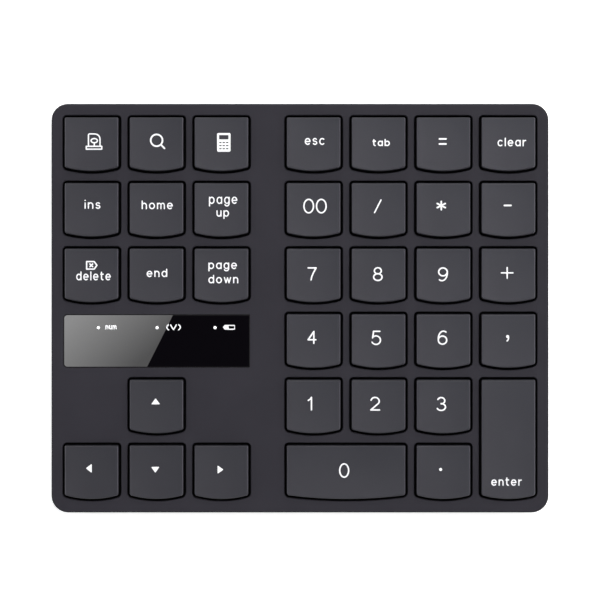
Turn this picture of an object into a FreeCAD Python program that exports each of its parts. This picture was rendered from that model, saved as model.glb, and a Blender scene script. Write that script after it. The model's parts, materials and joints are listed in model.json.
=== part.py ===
import FreeCAD, Part
import math
import os

import Sketcher
from FreeCAD import Placement, Rotation, Vector

# Slim wireless numeric keypad with 35 scissor-switch keys: a navigation block on the left, a number
# block on the right and an indicator window between them. Millimetres, +Z up, X to the right and
# Y to the rear. The origin is on the table under the middle of the case.

DOC = FreeCAD.newDocument("numeric_keypad")
SHEET = DOC.addObject("Spreadsheet::Sheet", "sizes")

DRIVING_SIZES = [
    # alias, value, what it is
    ("body_width", 145.8, "case, left to right"),
    ("body_depth", 119.9, "case, front to rear"),
    ("rear_corner", 4.8, "case corner radius at the rear"),
    ("front_corner", 5.0, "case corner radius at the front"),
    ("stand_height", 1.0, "case underside above the table"),
    ("floor_thick", 1.4, "bottom case floor"),
    ("wall_thick", 1.6, "case walls"),
    ("bay_height", 4.1, "room for battery and boards under the switch plate"),
    ("plate_thick", 0.5, "steel switch plate"),
    ("film_thick", 0.15, "each of the three membrane layers"),
    ("parting_height", 6.9, "joint between the two case halves"),
    ("lip_height", 0.9, "tongue of the bottom case inside the top frame"),
    ("deck_height", 10.2, "deck around the keys"),
    ("deck_thick", 1.7, "deck plate"),
    ("deck_round", 0.7, "edge radius of the deck"),
    ("belly_round", 2.0, "edge radius under the case"),
    ("seam_chamfer", 0.12, "chamfer on both halves where they meet"),
    ("key_pitch", 19.0, "key spacing, left to right"),
    ("row_pitch", 19.2, "key spacing, front to rear"),
    ("block_step", 27.0, "last left-block column to first number column"),
    ("cap_size", 15.9, "single keycap at its skirt"),
    ("cap_gap", 0.6, "keycap to deck"),
    ("cap_stand", 2.0, "keycap rim above the deck"),
    ("cap_height", 2.6, "keycap skirt to rim"),
    ("cap_roof", 1.2, "keycap top wall"),
    ("cap_wall", 1.0, "keycap skirt wall"),
    ("cap_taper", 3.0, "keycap skirt draft in degrees"),
    ("cap_round", 0.4, "edge radius around the keycap top"),
    ("cap_rear_corner", 0.6, "keycap corner radius at the rear"),
    ("cap_front_corner", 0.95, "keycap corner radius at the front"),
    ("cap_inner_corner", 0.5, "corner radius inside the keycap skirt"),
    ("cap_bow", 1.15, "how far the front edge of a keycap bows out"),
    ("dish_depth", 0.25, "hollow of the keycap top"),
    ("dish_radius", 130.0, "curvature of the keycap top"),
    ("opening_chamfer", 0.15, "chamfer around each key opening"),
    ("key_travel", 1.8, "how far a key goes down"),
    ("arm_length", 9.8, "scissor frame, hinge bar to hinge bar"),
    ("arm_thick", 0.6, "scissor frame thickness"),
    ("bar_radius", 0.28, "scissor hinge bar"),
    ("bar_rise", 0.35, "lower hinge bar above the membrane"),
    ("bar_drop", 0.4, "upper hinge bar below the keycap roof"),
    ("window_width", 54.6, "indicator window"),
    ("window_depth", 15.5, "indicator window"),
    ("window_thick", 0.9, "indicator window"),
    ("window_left_corner", 1.1, "indicator window corner radius at its left end"),
    ("window_right_corner", 0.25, "indicator window corner radius at its right end"),
    ("window_round", 0.2, "edge radius around the top of the indicator window"),
    ("led_step", 17.1, "spacing of the indicator lamps"),
    ("led_offset", 3.9, "indicator lamps behind the middle of the window"),
    ("board_lift", 0.5, "circuit boards above the floor"),
    ("board_thick", 1.0, "circuit boards"),
    ("port_place", -34.0, "charging port, left of the middle"),
    ("port_height", 4.3, "middle of the charging port above the table"),
    ("switch_place", -52.0, "power switch, left of the middle"),
    ("switch_height", 5.1, "middle of the power switch above the table"),
    ("switch_travel", 2.2, "power switch slider"),
    ("foot_length", 18.0, "rubber foot"),
    ("foot_width", 6.0, "rubber foot"),
    ("foot_sink", 0.5, "rubber foot sunk into the case"),
]


class Dim:
    """A length that carries its value and the spreadsheet formula that gives it."""

    def __init__(self, value, formula):
        self.value = value
        self.formula = formula

    def __add__(self, other):
        other = as_dim(other)
        return Dim(self.value + other.value, "(%s + %s)" % (self.formula, other.formula))

    def __sub__(self, other):
        other = as_dim(other)
        return Dim(self.value - other.value, "(%s - %s)" % (self.formula, other.formula))

    def __mul__(self, other):
        other = as_dim(other)
        return Dim(self.value * other.value, "(%s * %s)" % (self.formula, other.formula))

    def __truediv__(self, other):
        other = as_dim(other)
        return Dim(self.value / other.value, "(%s / %s)" % (self.formula, other.formula))

    def __neg__(self):
        return Dim(-self.value, "(0 - %s)" % self.formula)


def as_dim(number):
    """A plain number as a Dim with no link to the sheet."""
    return number if isinstance(number, Dim) else Dim(float(number), "(%s)" % float(number))


class Sizes:
    """The sheet's cells as attributes: size.key_pitch is the Dim of cell key_pitch."""


def fill_sheet():
    sizes = Sizes()
    for row, (alias, value, note) in enumerate(DRIVING_SIZES, start=1):
        SHEET.set("A%d" % row, alias)
        SHEET.set("B%d" % row, str(value))
        SHEET.set("C%d" % row, note)
        SHEET.setAlias("B%d" % row, alias)
        setattr(sizes, alias, Dim(value, "sizes." + alias))
    DOC.recompute()
    return sizes


size = fill_sheet()

# Heights above the table, from the floor of the case up to the keycaps.
floor_top = size.stand_height + size.floor_thick
plate_under = floor_top + size.bay_height
plate_top = plate_under + size.plate_thick
film_top = plate_top + size.film_thick * 3
deck_under = size.deck_height - size.deck_thick
cap_top = size.deck_height + size.cap_stand
cap_bottom = cap_top - size.cap_height
roof_under = cap_top - size.cap_roof
lower_bar = film_top + size.bar_rise
upper_bar = roof_under - size.bar_drop
board_under = floor_top + size.board_lift
board_top = board_under + size.board_thick
window_under = size.deck_height - size.window_thick
lip_top = size.parting_height + size.lip_height

half_width = size.body_width / 2
half_depth = size.body_depth / 2
inner_half_width = half_width - size.wall_thick
inner_half_depth = half_depth - size.wall_thick

# A scissor frame rises from its lower bar to its upper bar, which sets its tilt and its reach.
bar_rise_at_rest = upper_bar.value - lower_bar.value
arm_tilt = math.degrees(math.asin(bar_rise_at_rest / size.arm_length.value))
bar_reach = size.arm_length.value / 2 * math.cos(math.radians(arm_tilt))
arm_middle = (lower_bar.value + upper_bar.value) / 2

# Key names, rear row first, a dash where there is no key of its own.
KEY_ROWS = [
    "computer search calculator escape tab equals clear",
    "insert home page_up double_zero divide multiply minus",
    "delete end page_down 7 8 9 plus",
    "- - - 4 5 6 comma",
    "- arrow_up - 1 2 3 enter",
    "arrow_left arrow_down arrow_right 0 - point -",
]
TWO_COLUMNS_WIDE = "0"
TWO_ROWS_DEEP = "enter"
FIRST_NUMBER_COLUMN = 3


class Key:
    """Where a key stands and how large its cap is."""

    def __init__(self, name, column, row):
        gaps = column - FIRST_NUMBER_COLUMN
        if gaps < 0:
            self.x = -(size.block_step / 2 + size.key_pitch * 2.5) + size.key_pitch * column
        else:
            self.x = size.block_step / 2 - size.key_pitch / 2 + size.key_pitch * gaps
        self.y = size.row_pitch * (2.5 - row)
        self.width = size.cap_size
        self.depth = size.cap_size
        if name == TWO_COLUMNS_WIDE:
            self.x = self.x + size.key_pitch / 2
            self.width = size.cap_size + size.key_pitch
        if name == TWO_ROWS_DEEP:
            self.y = self.y - size.row_pitch / 2
            self.depth = size.cap_size + size.row_pitch
        self.name = name
        self.is_long = name in (TWO_COLUMNS_WIDE, TWO_ROWS_DEEP)
        self.runs_deep = name == TWO_ROWS_DEEP

    def place(self):
        """Where the key's outline goes."""
        return Placement(Vector(self.x.value, self.y.value, 0), Rotation())

    def works_place(self):
        """Where its scissor, hooks and wire go: turned a quarter under the key that is two rows deep."""
        quarter = -90 if self.runs_deep else 0
        return Placement(Vector(self.x.value, self.y.value, 0), Rotation(Vector(0, 0, 1), quarter))

    def turned(self, x, y):
        """A size or place along the works' own X and Y, as the case's X and Y."""
        return (y, -x) if self.runs_deep else (x, y)

    def side_plane(self):
        """The plane across the works' hinge bars."""
        return "XZ_Plane" if self.runs_deep else "YZ_Plane"


KEYS = [
    Key(name, column, row)
    for row, names in enumerate(KEY_ROWS)
    for column, name in enumerate(names.split())
    if name != "-"
]
KEY_BY_NAME = {key.name: key for key in KEYS}
window_x = KEY_BY_NAME["home"].x
window_y = KEY_BY_NAME["4"].y

# ---------------------------------------------------------------------------------------------
# Sketch helpers. ORIGIN, X_AXIS and Y_AXIS are the geometry numbers that the Sketcher gives them.
ORIGIN = (-1, 1)
X_AXIS = -1
Y_AXIS = -2
START, END, CENTRE = 1, 2, 3


def origin_plane(body, role):
    return next(plane for plane in body.Origin.OriginFeatures if plane.Role == role)


def sketch_in(body, name, plane="XY_Plane", offset=None):
    """An empty sketch on one of the body's own planes, moved along the plane's normal by offset."""
    sketch = body.newObject("Sketcher::SketchObject", body.Label + "_" + name)
    sketch.AttachmentSupport = [(origin_plane(body, plane), "")]
    sketch.MapMode = "FlatFace"
    if offset is not None:
        sketch.AttachmentOffset = Placement(Vector(0, 0, offset.value), Rotation())
        sketch.setExpression("AttachmentOffset.Base.z", offset.formula)
    return sketch


def name_and_bind(sketch, index, dim):
    name = "length_%d" % index
    sketch.renameConstraint(index, name)
    sketch.setExpression("Constraints." + name, dim.formula)


def set_position(sketch, geometry, point, axis, dim):
    """Holds a point at dim from the origin along axis, which is X or Y."""
    if abs(dim.value) < 1e-9:
        line = Y_AXIS if axis == "X" else X_AXIS
        sketch.addConstraint(Sketcher.Constraint("PointOnObject", geometry, point, line))
        return
    if dim.value > 0:
        ends = (*ORIGIN, geometry, point)
    else:
        ends = (geometry, point, *ORIGIN)
        dim = -dim
    index = sketch.addConstraint(Sketcher.Constraint("Distance" + axis, *ends, dim.value))
    name_and_bind(sketch, index, dim)


def set_radius(sketch, geometry, dim):
    index = sketch.addConstraint(Sketcher.Constraint("Radius", geometry, dim.value))
    name_and_bind(sketch, index, dim)


def add_line(sketch, start, end):
    return sketch.addGeometry(Part.LineSegment(Vector(*start, 0), Vector(*end, 0)), False)


def add_arc(sketch, centre, radius, first_degrees, last_degrees):
    circle = Part.Circle(Vector(*centre, 0), Vector(0, 0, 1), radius)
    first, last = math.radians(first_degrees), math.radians(last_degrees)
    return sketch.addGeometry(Part.ArcOfCircle(circle, first, last), False)


def add_circle(sketch, x, y, radius):
    x, y, radius = as_dim(x), as_dim(y), as_dim(radius)
    circle = Part.Circle(Vector(x.value, y.value, 0), Vector(0, 0, 1), radius.value)
    index = sketch.addGeometry(circle, False)
    set_radius(sketch, index, radius)
    set_position(sketch, index, CENTRE, "X", x)
    set_position(sketch, index, CENTRE, "Y", y)


def join_smoothly(sketch, outline):
    """Ties each piece of a closed outline to the next one, end to start, with one tangent."""
    for here, there in zip(outline, outline[1:] + outline[:1]):
        sketch.addConstraint(Sketcher.Constraint("Tangent", here, END, there, START))


def add_polygon(sketch, points):
    """A closed outline of straight edges through (x, y) points, each held from the origin."""
    points = [(as_dim(x), as_dim(y)) for x, y in points]
    lines = []
    for (x0, y0), (x1, y1) in zip(points, points[1:] + points[:1]):
        lines.append(add_line(sketch, (x0.value, y0.value), (x1.value, y1.value)))
    for here, there in zip(lines, lines[1:] + lines[:1]):
        sketch.addConstraint(Sketcher.Constraint("Coincident", here, END, there, START))
    for line, (x, y) in zip(lines, points):
        set_position(sketch, line, START, "X", x)
        set_position(sketch, line, START, "Y", y)


def add_box(sketch, x, y, width, depth):
    """A plain rectangle about (x, y)."""
    x, y, half_w, half_d = as_dim(x), as_dim(y), as_dim(width) / 2, as_dim(depth) / 2
    low_x, high_x, low_y, high_y = x - half_w, x + half_w, y - half_d, y + half_d
    add_polygon(sketch, [(low_x, low_y), (high_x, low_y), (high_x, high_y), (low_x, high_y)])


def add_rounded_box(sketch, x, y, half_w, half_d, radii):
    """A rectangle about (x, y) with rounded corners.

    radii is one radius, or four: front right, rear right, rear left and front left.
    """
    x, y, half_w, half_d = as_dim(x), as_dim(y), as_dim(half_w), as_dim(half_d)
    radii = [as_dim(radius) for radius in (radii if isinstance(radii, list) else [radii] * 4)]
    fr, rr, rl, fl = (radius.value for radius in radii)
    x0, x1 = (x - half_w).value, (x + half_w).value
    y0, y1 = (y - half_d).value, (y + half_d).value
    bottom = add_line(sketch, (x0 + fl, y0), (x1 - fr, y0))
    front_right = add_arc(sketch, (x1 - fr, y0 + fr), fr, -90, 0)
    right = add_line(sketch, (x1, y0 + fr), (x1, y1 - rr))
    rear_right = add_arc(sketch, (x1 - rr, y1 - rr), rr, 0, 90)
    top = add_line(sketch, (x1 - rr, y1), (x0 + rl, y1))
    rear_left = add_arc(sketch, (x0 + rl, y1 - rl), rl, 90, 180)
    left = add_line(sketch, (x0, y1 - rl), (x0, y0 + fl))
    front_left = add_arc(sketch, (x0 + fl, y0 + fl), fl, 180, 270)
    outline = [bottom, front_right, right, rear_right, top, rear_left, left, front_left]
    join_smoothly(sketch, outline)
    for line in (bottom, top):
        sketch.addConstraint(Sketcher.Constraint("Horizontal", line))
    for line in (left, right):
        sketch.addConstraint(Sketcher.Constraint("Vertical", line))
    for arc, radius in zip((front_right, rear_right, rear_left, front_left), radii):
        set_radius(sketch, arc, radius)
    set_position(sketch, bottom, START, "Y", y - half_d)
    set_position(sketch, top, START, "Y", y + half_d)
    set_position(sketch, left, START, "X", x - half_w)
    set_position(sketch, right, START, "X", x + half_w)


def add_key_outline(sketch, width, depth, grow, corner=None):
    """The plan of a key about the origin: straight at the rear and sides, bowed at the front.

    grow moves the whole outline out, or in where it is negative. corner overrides all four corners.
    """
    grow = as_dim(grow)
    half_w, half_d = width / 2 + grow, depth / 2 + grow
    rear = corner or size.cap_rear_corner + grow
    front = corner or size.cap_front_corner + grow
    bow = width * width / (size.cap_bow * 8) + size.cap_bow / 2 + grow
    bow_centre = bow - half_d
    w, d, r, f = half_w.value, half_d.value, rear.value, front.value
    reach = math.acos((w - f) / (bow.value - f))
    corner_y = bow_centre.value - (bow.value - f) * math.sin(reach)
    turn = math.degrees(reach)
    right = add_line(sketch, (w, corner_y), (w, d - r))
    rear_right = add_arc(sketch, (w - r, d - r), r, 0, 90)
    top = add_line(sketch, (w - r, d), (r - w, d))
    rear_left = add_arc(sketch, (r - w, d - r), r, 90, 180)
    left = add_line(sketch, (-w, d - r), (-w, corner_y))
    front_left = add_arc(sketch, (f - w, corner_y), f, 180, 180 + turn)
    front_edge = add_arc(sketch, (0, bow_centre.value), bow.value, 180 + turn, 360 - turn)
    front_right = add_arc(sketch, (w - f, corner_y), f, 360 - turn, 360)
    join_smoothly(sketch, [right, rear_right, top, rear_left, left, front_left, front_edge, front_right])
    sketch.addConstraint(Sketcher.Constraint("Horizontal", top))
    for line in (left, right):
        sketch.addConstraint(Sketcher.Constraint("Vertical", line))
    arcs = [(rear_right, rear), (rear_left, rear), (front_left, front), (front_right, front)]
    for arc, radius in arcs + [(front_edge, bow)]:
        set_radius(sketch, arc, radius)
    set_position(sketch, right, START, "X", half_w)
    set_position(sketch, left, START, "X", -half_w)
    set_position(sketch, top, START, "Y", half_d)
    set_position(sketch, front_edge, CENTRE, "X", as_dim(0))
    set_position(sketch, front_edge, CENTRE, "Y", bow_centre)


# ---------------------------------------------------------------------------------------------
# Feature helpers.
def new_body(label):
    body = DOC.addObject("PartDesign::Body", label)
    body.Label = label
    return body


def extrude(kind, body, sketch, length, towards_plus=True, both_ways=False, taper=None):
    """A Pad or Pocket. towards_plus says whether it runs along the sketch's normal."""
    length = as_dim(length)
    feature = body.newObject("PartDesign::" + kind, sketch.Name + "_" + kind.lower())
    feature.Profile = sketch
    feature.Length = length.value
    feature.setExpression("Length", length.formula)
    if both_ways:
        feature.SideType = "Symmetric"
    else:
        runs_plus_by_itself = kind == "Pad"
        feature.Reversed = towards_plus != runs_plus_by_itself
    if taper is not None:
        feature.TaperAngle = taper.value
        feature.setExpression("TaperAngle", taper.formula)
    sketch.Visibility = False
    return feature


def pad(body, sketch, length, **how):
    return extrude("Pad", body, sketch, length, **how)


def pocket(body, sketch, length, **how):
    """A Pocket that has to remove something, because a wrong direction cuts nothing."""
    DOC.recompute()
    before = body.Shape.Volume
    feature = extrude("Pocket", body, sketch, length, **how)
    DOC.recompute()
    if body.Shape.Volume >= before - 1e-6:
        raise RuntimeError("%s cut nothing from %s" % (feature.Name, body.Label))
    return feature


def soften(body, base, wanted, radius, kind="Fillet"):
    """Rounds or chamfers the edges of base that wanted() picks."""
    DOC.recompute()
    radius = as_dim(radius)
    names = ["Edge%d" % number for number, edge in enumerate(base.Shape.Edges, start=1) if wanted(edge)]
    if not names:
        raise RuntimeError("no edges to soften on " + body.Label)
    feature = body.newObject("PartDesign::" + kind, body.Label + "_" + kind.lower())
    feature.Base = (base, names)
    cell = "Radius" if kind == "Fillet" else "Size"
    setattr(feature, cell, radius.value)
    feature.setExpression(cell, radius.formula)
    return feature


def level_edge(height):
    """Picks the edges that lie flat at a height."""

    def wanted(edge):
        box = edge.BoundBox
        return abs(box.ZMin - height.value) < 1e-4 and abs(box.ZMax - height.value) < 1e-4

    return wanted


def upright_edge(edge):
    box = edge.BoundBox
    return box.XLength < 1e-6 and box.YLength < 1e-6


def group_of(label, shapes):
    """One node that holds several separate solids."""
    group = DOC.addObject("Part::Feature", label)
    group.Label = label
    group.Shape = Part.makeCompound(shapes)
    return group


def copies(master, placements):
    """The master's shape, once at each placement."""
    DOC.recompute()
    found = []
    for placement in placements:
        shape = master.Shape.copy()
        shape.Placement = placement.multiply(shape.Placement)
        found.append(shape)
    return found


def cut_from(label, base, tools):
    """A Part::Cut that takes the tool shapes out of base."""
    tool = group_of(label + "_cutters", tools)
    cut = DOC.addObject("Part::Cut", label)
    cut.Label = label
    cut.Base = base
    cut.Tool = tool
    return cut


def block(x, y, z, width, depth, height):
    """A box shape centred on (x, y) that stands on z."""
    return Part.makeBox(width, depth, height, Vector(x - width / 2, y - depth / 2, z))


def rod(x, y, z, radius, height):
    return Part.makeCylinder(radius, height, Vector(x, y, z))


# ---------------------------------------------------------------------------------------------
# The indicator window's clearance in its recess, and the light pipes below it.
WINDOW_PLAY = 0.08
PIPE_RADIUS = 1.0
PIPE_HOLE_RADIUS = 1.5

# Screws: one under the rear, middle and front of the strip between the blocks, and two in the
# blank corners beside the up arrow.
strip_x = (KEY_BY_NAME["calculator"].x + KEY_BY_NAME["escape"].x) / 2
SCREW_PLACES = [
    (strip_x, KEY_BY_NAME["search"].y),
    (strip_x, as_dim(0)),
    (strip_x, KEY_BY_NAME["arrow_down"].y),
    (KEY_BY_NAME["arrow_left"].x, KEY_BY_NAME["arrow_up"].y),
    (KEY_BY_NAME["arrow_right"].x, KEY_BY_NAME["arrow_up"].y),
]
BOSS_RADIUS = 2.3
BOSS_CLEARANCE = 0.3
SCREW_HOLE_RADIUS = 1.05
SCREW_SHANK_RADIUS = 0.95
SCREW_HEAD_RADIUS = 1.8
SCREW_HEAD_RECESS = 2.1
SCREW_HEAD_DEPTH = 1.2

# Posts under the switch plate, clear of the battery and the boards.
PLATE_POSTS = [
    (4, 38.4), (32.5, 38.4), (61, 38.4), (13.5, -38.4), (51.5, -38.4), (66, 0), (-61, 28.8), (-23, 28.8),
]
POST_RADIUS = 1.6

# Snap beads on the tongue, where no screw is near: (x, y) directions and the place along the edge.
SNAP_RIGHT = (-38.0, 0.0, 38.0)
SNAP_FRONT_AND_REAR = (18.0, 52.0)
SNAP_LENGTH, SNAP_REACH, SNAP_TALL, SNAP_LIFT = 8.0, 0.3, 0.35, 0.4
SNAP_PLAY = 0.08
TONGUE_PLAY = 0.08

# Rubber feet, one near each corner.
FOOT_X, FOOT_Y = 54.0, 51.0
FOOT_PLACES = [(x, y) for x in (-FOOT_X, FOOT_X) for y in (-FOOT_Y, FOOT_Y)]
FOOT_CLEARANCE = 0.1

# Battery bay under the number block.
BATTERY_X, BATTERY_Y = 33.0, -10.0
BATTERY_LENGTH, BATTERY_WIDTH, BATTERY_THICK = 50.0, 34.0, 3.0
BATTERY_LIFT = 0.15
TRAY_RIB, TRAY_RIB_HEIGHT, TRAY_GAP = 1.0, 1.5, 0.4

# Boards.
MAIN_BOARD = (-42.0, -9.5, 52.0, 20.0)
REAR_BOARD = (-42.0, 50.9, 42.0, 12.8)
BOARD_POST_RADIUS = 1.5
BOARD_POST_INSET = 3.0

# Charging port: a USB-C receptacle, 8.94 by 3.2 outside and 8.34 by 2.6 inside.
PORT_WIDTH, PORT_TALL, PORT_LENGTH = 8.94, 3.2, 7.4
PORT_SHELL = 0.3
PORT_SETBACK = 0.5
PORT_WINDOW_WIDTH, PORT_WINDOW_TALL = 9.8, 3.8

# Power switch knob and the slot that it slides in.
KNOB_WIDTH, KNOB_TALL = 3.2, 1.8
KNOB_SETBACK = 0.15
SLOT_CLEARANCE = 0.25
SCOOP_RADIUS, SCOOP_DEPTH, SCOOP_TALL = 14.0, 0.6, 3.2


# ---------------------------------------------------------------------------------------------
PLUNGER_RADIUS, PLUNGER_DROP = 1.4, 0.35


def make_keycap(key):
    """A keycap: bowed front edge, dished top, thin skirt, and the clips that hold its scissor."""
    body = new_body("keycap_" + key.name)
    outline = sketch_in(body, "outline", offset=cap_bottom)
    add_key_outline(outline, key.width, key.depth, 0)
    pad(body, outline, size.cap_height, taper=-size.cap_taper)

    dish = body.newObject("PartDesign::SubtractiveCylinder", body.Label + "_dish")
    lies_along_x = key.is_long and not key.runs_deep
    turn = Rotation(Vector(0, 1, 0), 90) if lies_along_x else Rotation(Vector(1, 0, 0), -90)
    length = key.width + key.depth
    dish.Placement = Placement(Vector(), turn)
    dish.setExpression("Radius", size.dish_radius.formula)
    dish.setExpression("Height", length.formula)
    start = "Placement.Base.x" if lies_along_x else "Placement.Base.y"
    dish.setExpression(start, (-length / 2).formula)
    lift = cap_top - size.dish_depth + size.dish_radius
    dish.setExpression("Placement.Base.z", lift.formula)

    def around_top(edge):
        return edge.BoundBox.ZMin > cap_top.value - size.dish_depth.value - 0.05

    soften(body, dish, around_top, size.cap_round)
    hollow = sketch_in(body, "hollow", offset=cap_bottom)
    add_key_outline(hollow, key.width, key.depth, -size.cap_wall, size.cap_inner_corner)
    pocket(body, hollow, roof_under - cap_bottom, towards_plus=True)

    plunger = sketch_in(body, "plunger", offset=roof_under)
    add_circle(plunger, 0, 0, PLUNGER_RADIUS)
    pad(body, plunger, PLUNGER_DROP, towards_plus=False)

    add_clips(body, key)
    body.setExpression("Placement.Base.x", key.x.formula)
    body.setExpression("Placement.Base.y", key.y.formula)
    return body


CLIP_WIDTH, CLIP_DEPTH = 1.2, 1.7
CLIP_OFFSET = 1.0
CLIP_LIP = 0.3
CLIP_MOUTH = 0.44
BAR_PLAY = 0.05
SLIDE_ROOM = 0.4


def size_turned(key, across, along):
    """A width and depth, swapped where the key's works are turned."""
    return (along, across) if key.runs_deep else (across, along)


def add_clips(body, key):
    """Four clips under the roof: round-slot clips at the rear, sliding clips at the front."""
    clip_drop = size.bar_drop + size.bar_radius + BAR_PLAY + CLIP_LIP
    clips = sketch_in(body, "clips", offset=roof_under)
    for x in (-CLIP_OFFSET, CLIP_OFFSET):
        for y in (-bar_reach - SLIDE_ROOM / 2, bar_reach):
            add_box(clips, *key.turned(x, y), *size_turned(key, CLIP_WIDTH, CLIP_DEPTH))
    pad(body, clips, clip_drop, towards_plus=False)

    slots = sketch_in(body, "clip_slots", plane=key.side_plane())
    half = size.bar_radius.value + BAR_PLAY
    top, low = upper_bar.value + half, upper_bar.value - half
    mouth, under = CLIP_MOUTH / 2, roof_under.value - clip_drop.value - 0.1
    for middle, slide in ((bar_reach, 0), (-bar_reach, SLIDE_ROOM)):
        left, right = middle - half - slide, middle + half
        points = [
            (left, top), (left, low), (middle - mouth, low), (middle - mouth, under),
            (middle + mouth, under), (middle + mouth, low), (right, low), (right, top),
        ]
        add_polygon(slots, points)
    pocket(body, slots, 2 * (CLIP_OFFSET + CLIP_WIDTH), both_ways=True)
    if key.is_long:
        add_wire_clips(body, key)


# Stabiliser wires under the two long keycaps.
WIRE_RADIUS = 0.4
WIRE_HALF_LENGTH = 14.0
WIRE_SIDE = 6.05
WIRE_TOE_SIDE = -1.0
WIRE_TOE = 1.4
WIRE_HIGH = roof_under.value - WIRE_RADIUS - 0.05
WIRE_LOW = film_top.value + WIRE_RADIUS + 0.1
WIRE_CLIP_PLACES = (-10.0, 10.0)
WIRE_CLIP_WIDTH, WIRE_CLIP_DEPTH, WIRE_CLIP_DROP = 1.6, 1.6, 1.05
EYE_PLACES = (-12.0, 12.0)
EYE_WIDTH, EYE_DEPTH, EYE_TALL = 1.0, 2.0, 1.75


def add_wire_clips(body, key):
    """Two short blocks under the roof with a slot for the stabiliser wire."""
    clips = sketch_in(body, "wire_clips", offset=roof_under)
    for x in WIRE_CLIP_PLACES:
        add_box(clips, *key.turned(x, WIRE_SIDE), *size_turned(key, WIRE_CLIP_WIDTH, WIRE_CLIP_DEPTH))
    pad(body, clips, WIRE_CLIP_DROP, towards_plus=False)
    slot = sketch_in(body, "wire_slot", plane=key.side_plane())
    slot_tall = WIRE_CLIP_DROP + 0.1
    add_box(slot, WIRE_SIDE, roof_under - slot_tall / 2, 2 * WIRE_RADIUS + 0.1, slot_tall)
    pocket(body, slot, 2 * WIRE_HALF_LENGTH, both_ways=True)


# ---------------------------------------------------------------------------------------------
def opening_cutter(key):
    """The prism of a key opening, with a chamfer flare where it meets the deck."""
    body = new_body("opening_" + key.name)
    shaft = sketch_in(body, "shaft", offset=size.deck_height - size.deck_thick - 1)
    add_key_outline(shaft, key.width, key.depth, size.cap_gap)
    pad(body, shaft, size.deck_thick + 2)
    flare = sketch_in(body, "flare", offset=size.deck_height)
    add_key_outline(flare, key.width, key.depth, size.cap_gap + size.opening_chamfer)
    flare_angle = Dim(-45.0, "-45")
    pad(body, flare, size.opening_chamfer, towards_plus=False, taper=flare_angle)
    return body


def key_openings():
    """Cutters for every key opening, from three masters: single, wide and deep."""
    single = opening_cutter(KEY_BY_NAME["8"])
    tools = copies(single, [key.place() for key in KEYS if not key.is_long])
    for name in (TWO_COLUMNS_WIDE, TWO_ROWS_DEEP):
        key = KEY_BY_NAME[name]
        tools += copies(opening_cutter(key), [key.place()])
    return tools


def led_places():
    return [window_x + size.led_step * step for step in (-1, 0, 1)]


def add_snaps(sketch, grow):
    """Boxes astride the tongue's outer face: the beads, or their grooves where grow isn't 0."""
    inset = size.wall_thick / 2 + TONGUE_PLAY
    face_x, face_y = half_width - inset, half_depth - inset
    reach, length = 2 * (SNAP_REACH + grow), SNAP_LENGTH + 2 * grow
    for y in SNAP_RIGHT:
        add_box(sketch, face_x, y, reach, length)
    for x in SNAP_FRONT_AND_REAR:
        add_box(sketch, x, face_y, length, reach)
        add_box(sketch, x, -face_y, length, reach)


def case_corners(inset=0):
    """The corner radii of an outline that runs inside the case's own by inset."""
    front, rear = size.front_corner - inset, size.rear_corner - inset
    return [front, rear, rear, front]


def window_corners(grow=0):
    """The corner radii of the indicator window, or of the recess that it lies in."""
    left, right = size.window_left_corner + grow, size.window_right_corner + grow
    return [right, right, left, left]


def make_top_frame():
    """The top half of the case: deck, outer wall, screw bosses and the window recess."""
    body = new_body("top_frame_blank")
    outline = sketch_in(body, "outline", offset=size.parting_height)
    add_rounded_box(outline, 0, 0, half_width, half_depth, case_corners())
    shell = pad(body, outline, size.deck_height - size.parting_height)
    shell = soften(body, shell, level_edge(size.deck_height), size.deck_round)
    soften(body, shell, level_edge(size.parting_height), size.seam_chamfer, "Chamfer")

    inside = sketch_in(body, "inside", offset=size.parting_height)
    add_rounded_box(inside, 0, 0, inner_half_width, inner_half_depth, size.front_corner - size.wall_thick)
    pocket(body, inside, deck_under - size.parting_height, towards_plus=True)

    rebate = sketch_in(body, "rebate", offset=size.parting_height)
    inset = size.wall_thick / 2
    add_rounded_box(rebate, 0, 0, half_width - inset, half_depth - inset, case_corners(inset))
    pocket(body, rebate, size.lip_height + 0.1, towards_plus=True)
    grooves = sketch_in(body, "snap_grooves", offset=size.parting_height + SNAP_LIFT - SNAP_PLAY)
    add_snaps(grooves, SNAP_PLAY)
    pocket(body, grooves, SNAP_TALL + 2 * SNAP_PLAY, towards_plus=True)

    recess = sketch_in(body, "window_recess", offset=size.deck_height)
    half_w, half_d = size.window_width / 2 + WINDOW_PLAY, size.window_depth / 2 + WINDOW_PLAY
    add_rounded_box(recess, window_x, window_y, half_w, half_d, window_corners(WINDOW_PLAY))
    pocket(body, recess, size.window_thick, towards_plus=False)

    lamps = sketch_in(body, "lamp_holes", offset=size.deck_height)
    for x in led_places():
        add_circle(lamps, x, window_y + size.led_offset, PIPE_RADIUS + 0.1)
    pocket(body, lamps, size.deck_thick + 0.5, towards_plus=False)

    bosses = sketch_in(body, "bosses", offset=deck_under)
    for x, y in SCREW_PLACES:
        add_circle(bosses, x, y, BOSS_RADIUS)
    boss_length = deck_under - plate_under - 0.05
    pad(body, bosses, boss_length, towards_plus=False)
    pilots = sketch_in(body, "pilots", offset=plate_under)
    for x, y in SCREW_PLACES:
        add_circle(pilots, x, y, SCREW_SHANK_RADIUS)
    pocket(body, pilots, deck_under - plate_under + 0.6, towards_plus=True)
    DOC.recompute()
    return cut_from("top_frame", body, key_openings())


def stadium_solid(x, z, width, tall, y_low, length):
    """A bar along Y whose section is a flat oval."""
    radius = tall / 2
    straight = width - tall
    slab = Part.makeBox(straight, length, tall, Vector(x - straight / 2, y_low, z - radius))
    ends = [
        Part.makeCylinder(radius, length, Vector(x + side * straight / 2, y_low, z), Vector(0, 1, 0))
        for side in (-1, 1)
    ]
    return slab.fuse(ends).removeSplitter()


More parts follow.
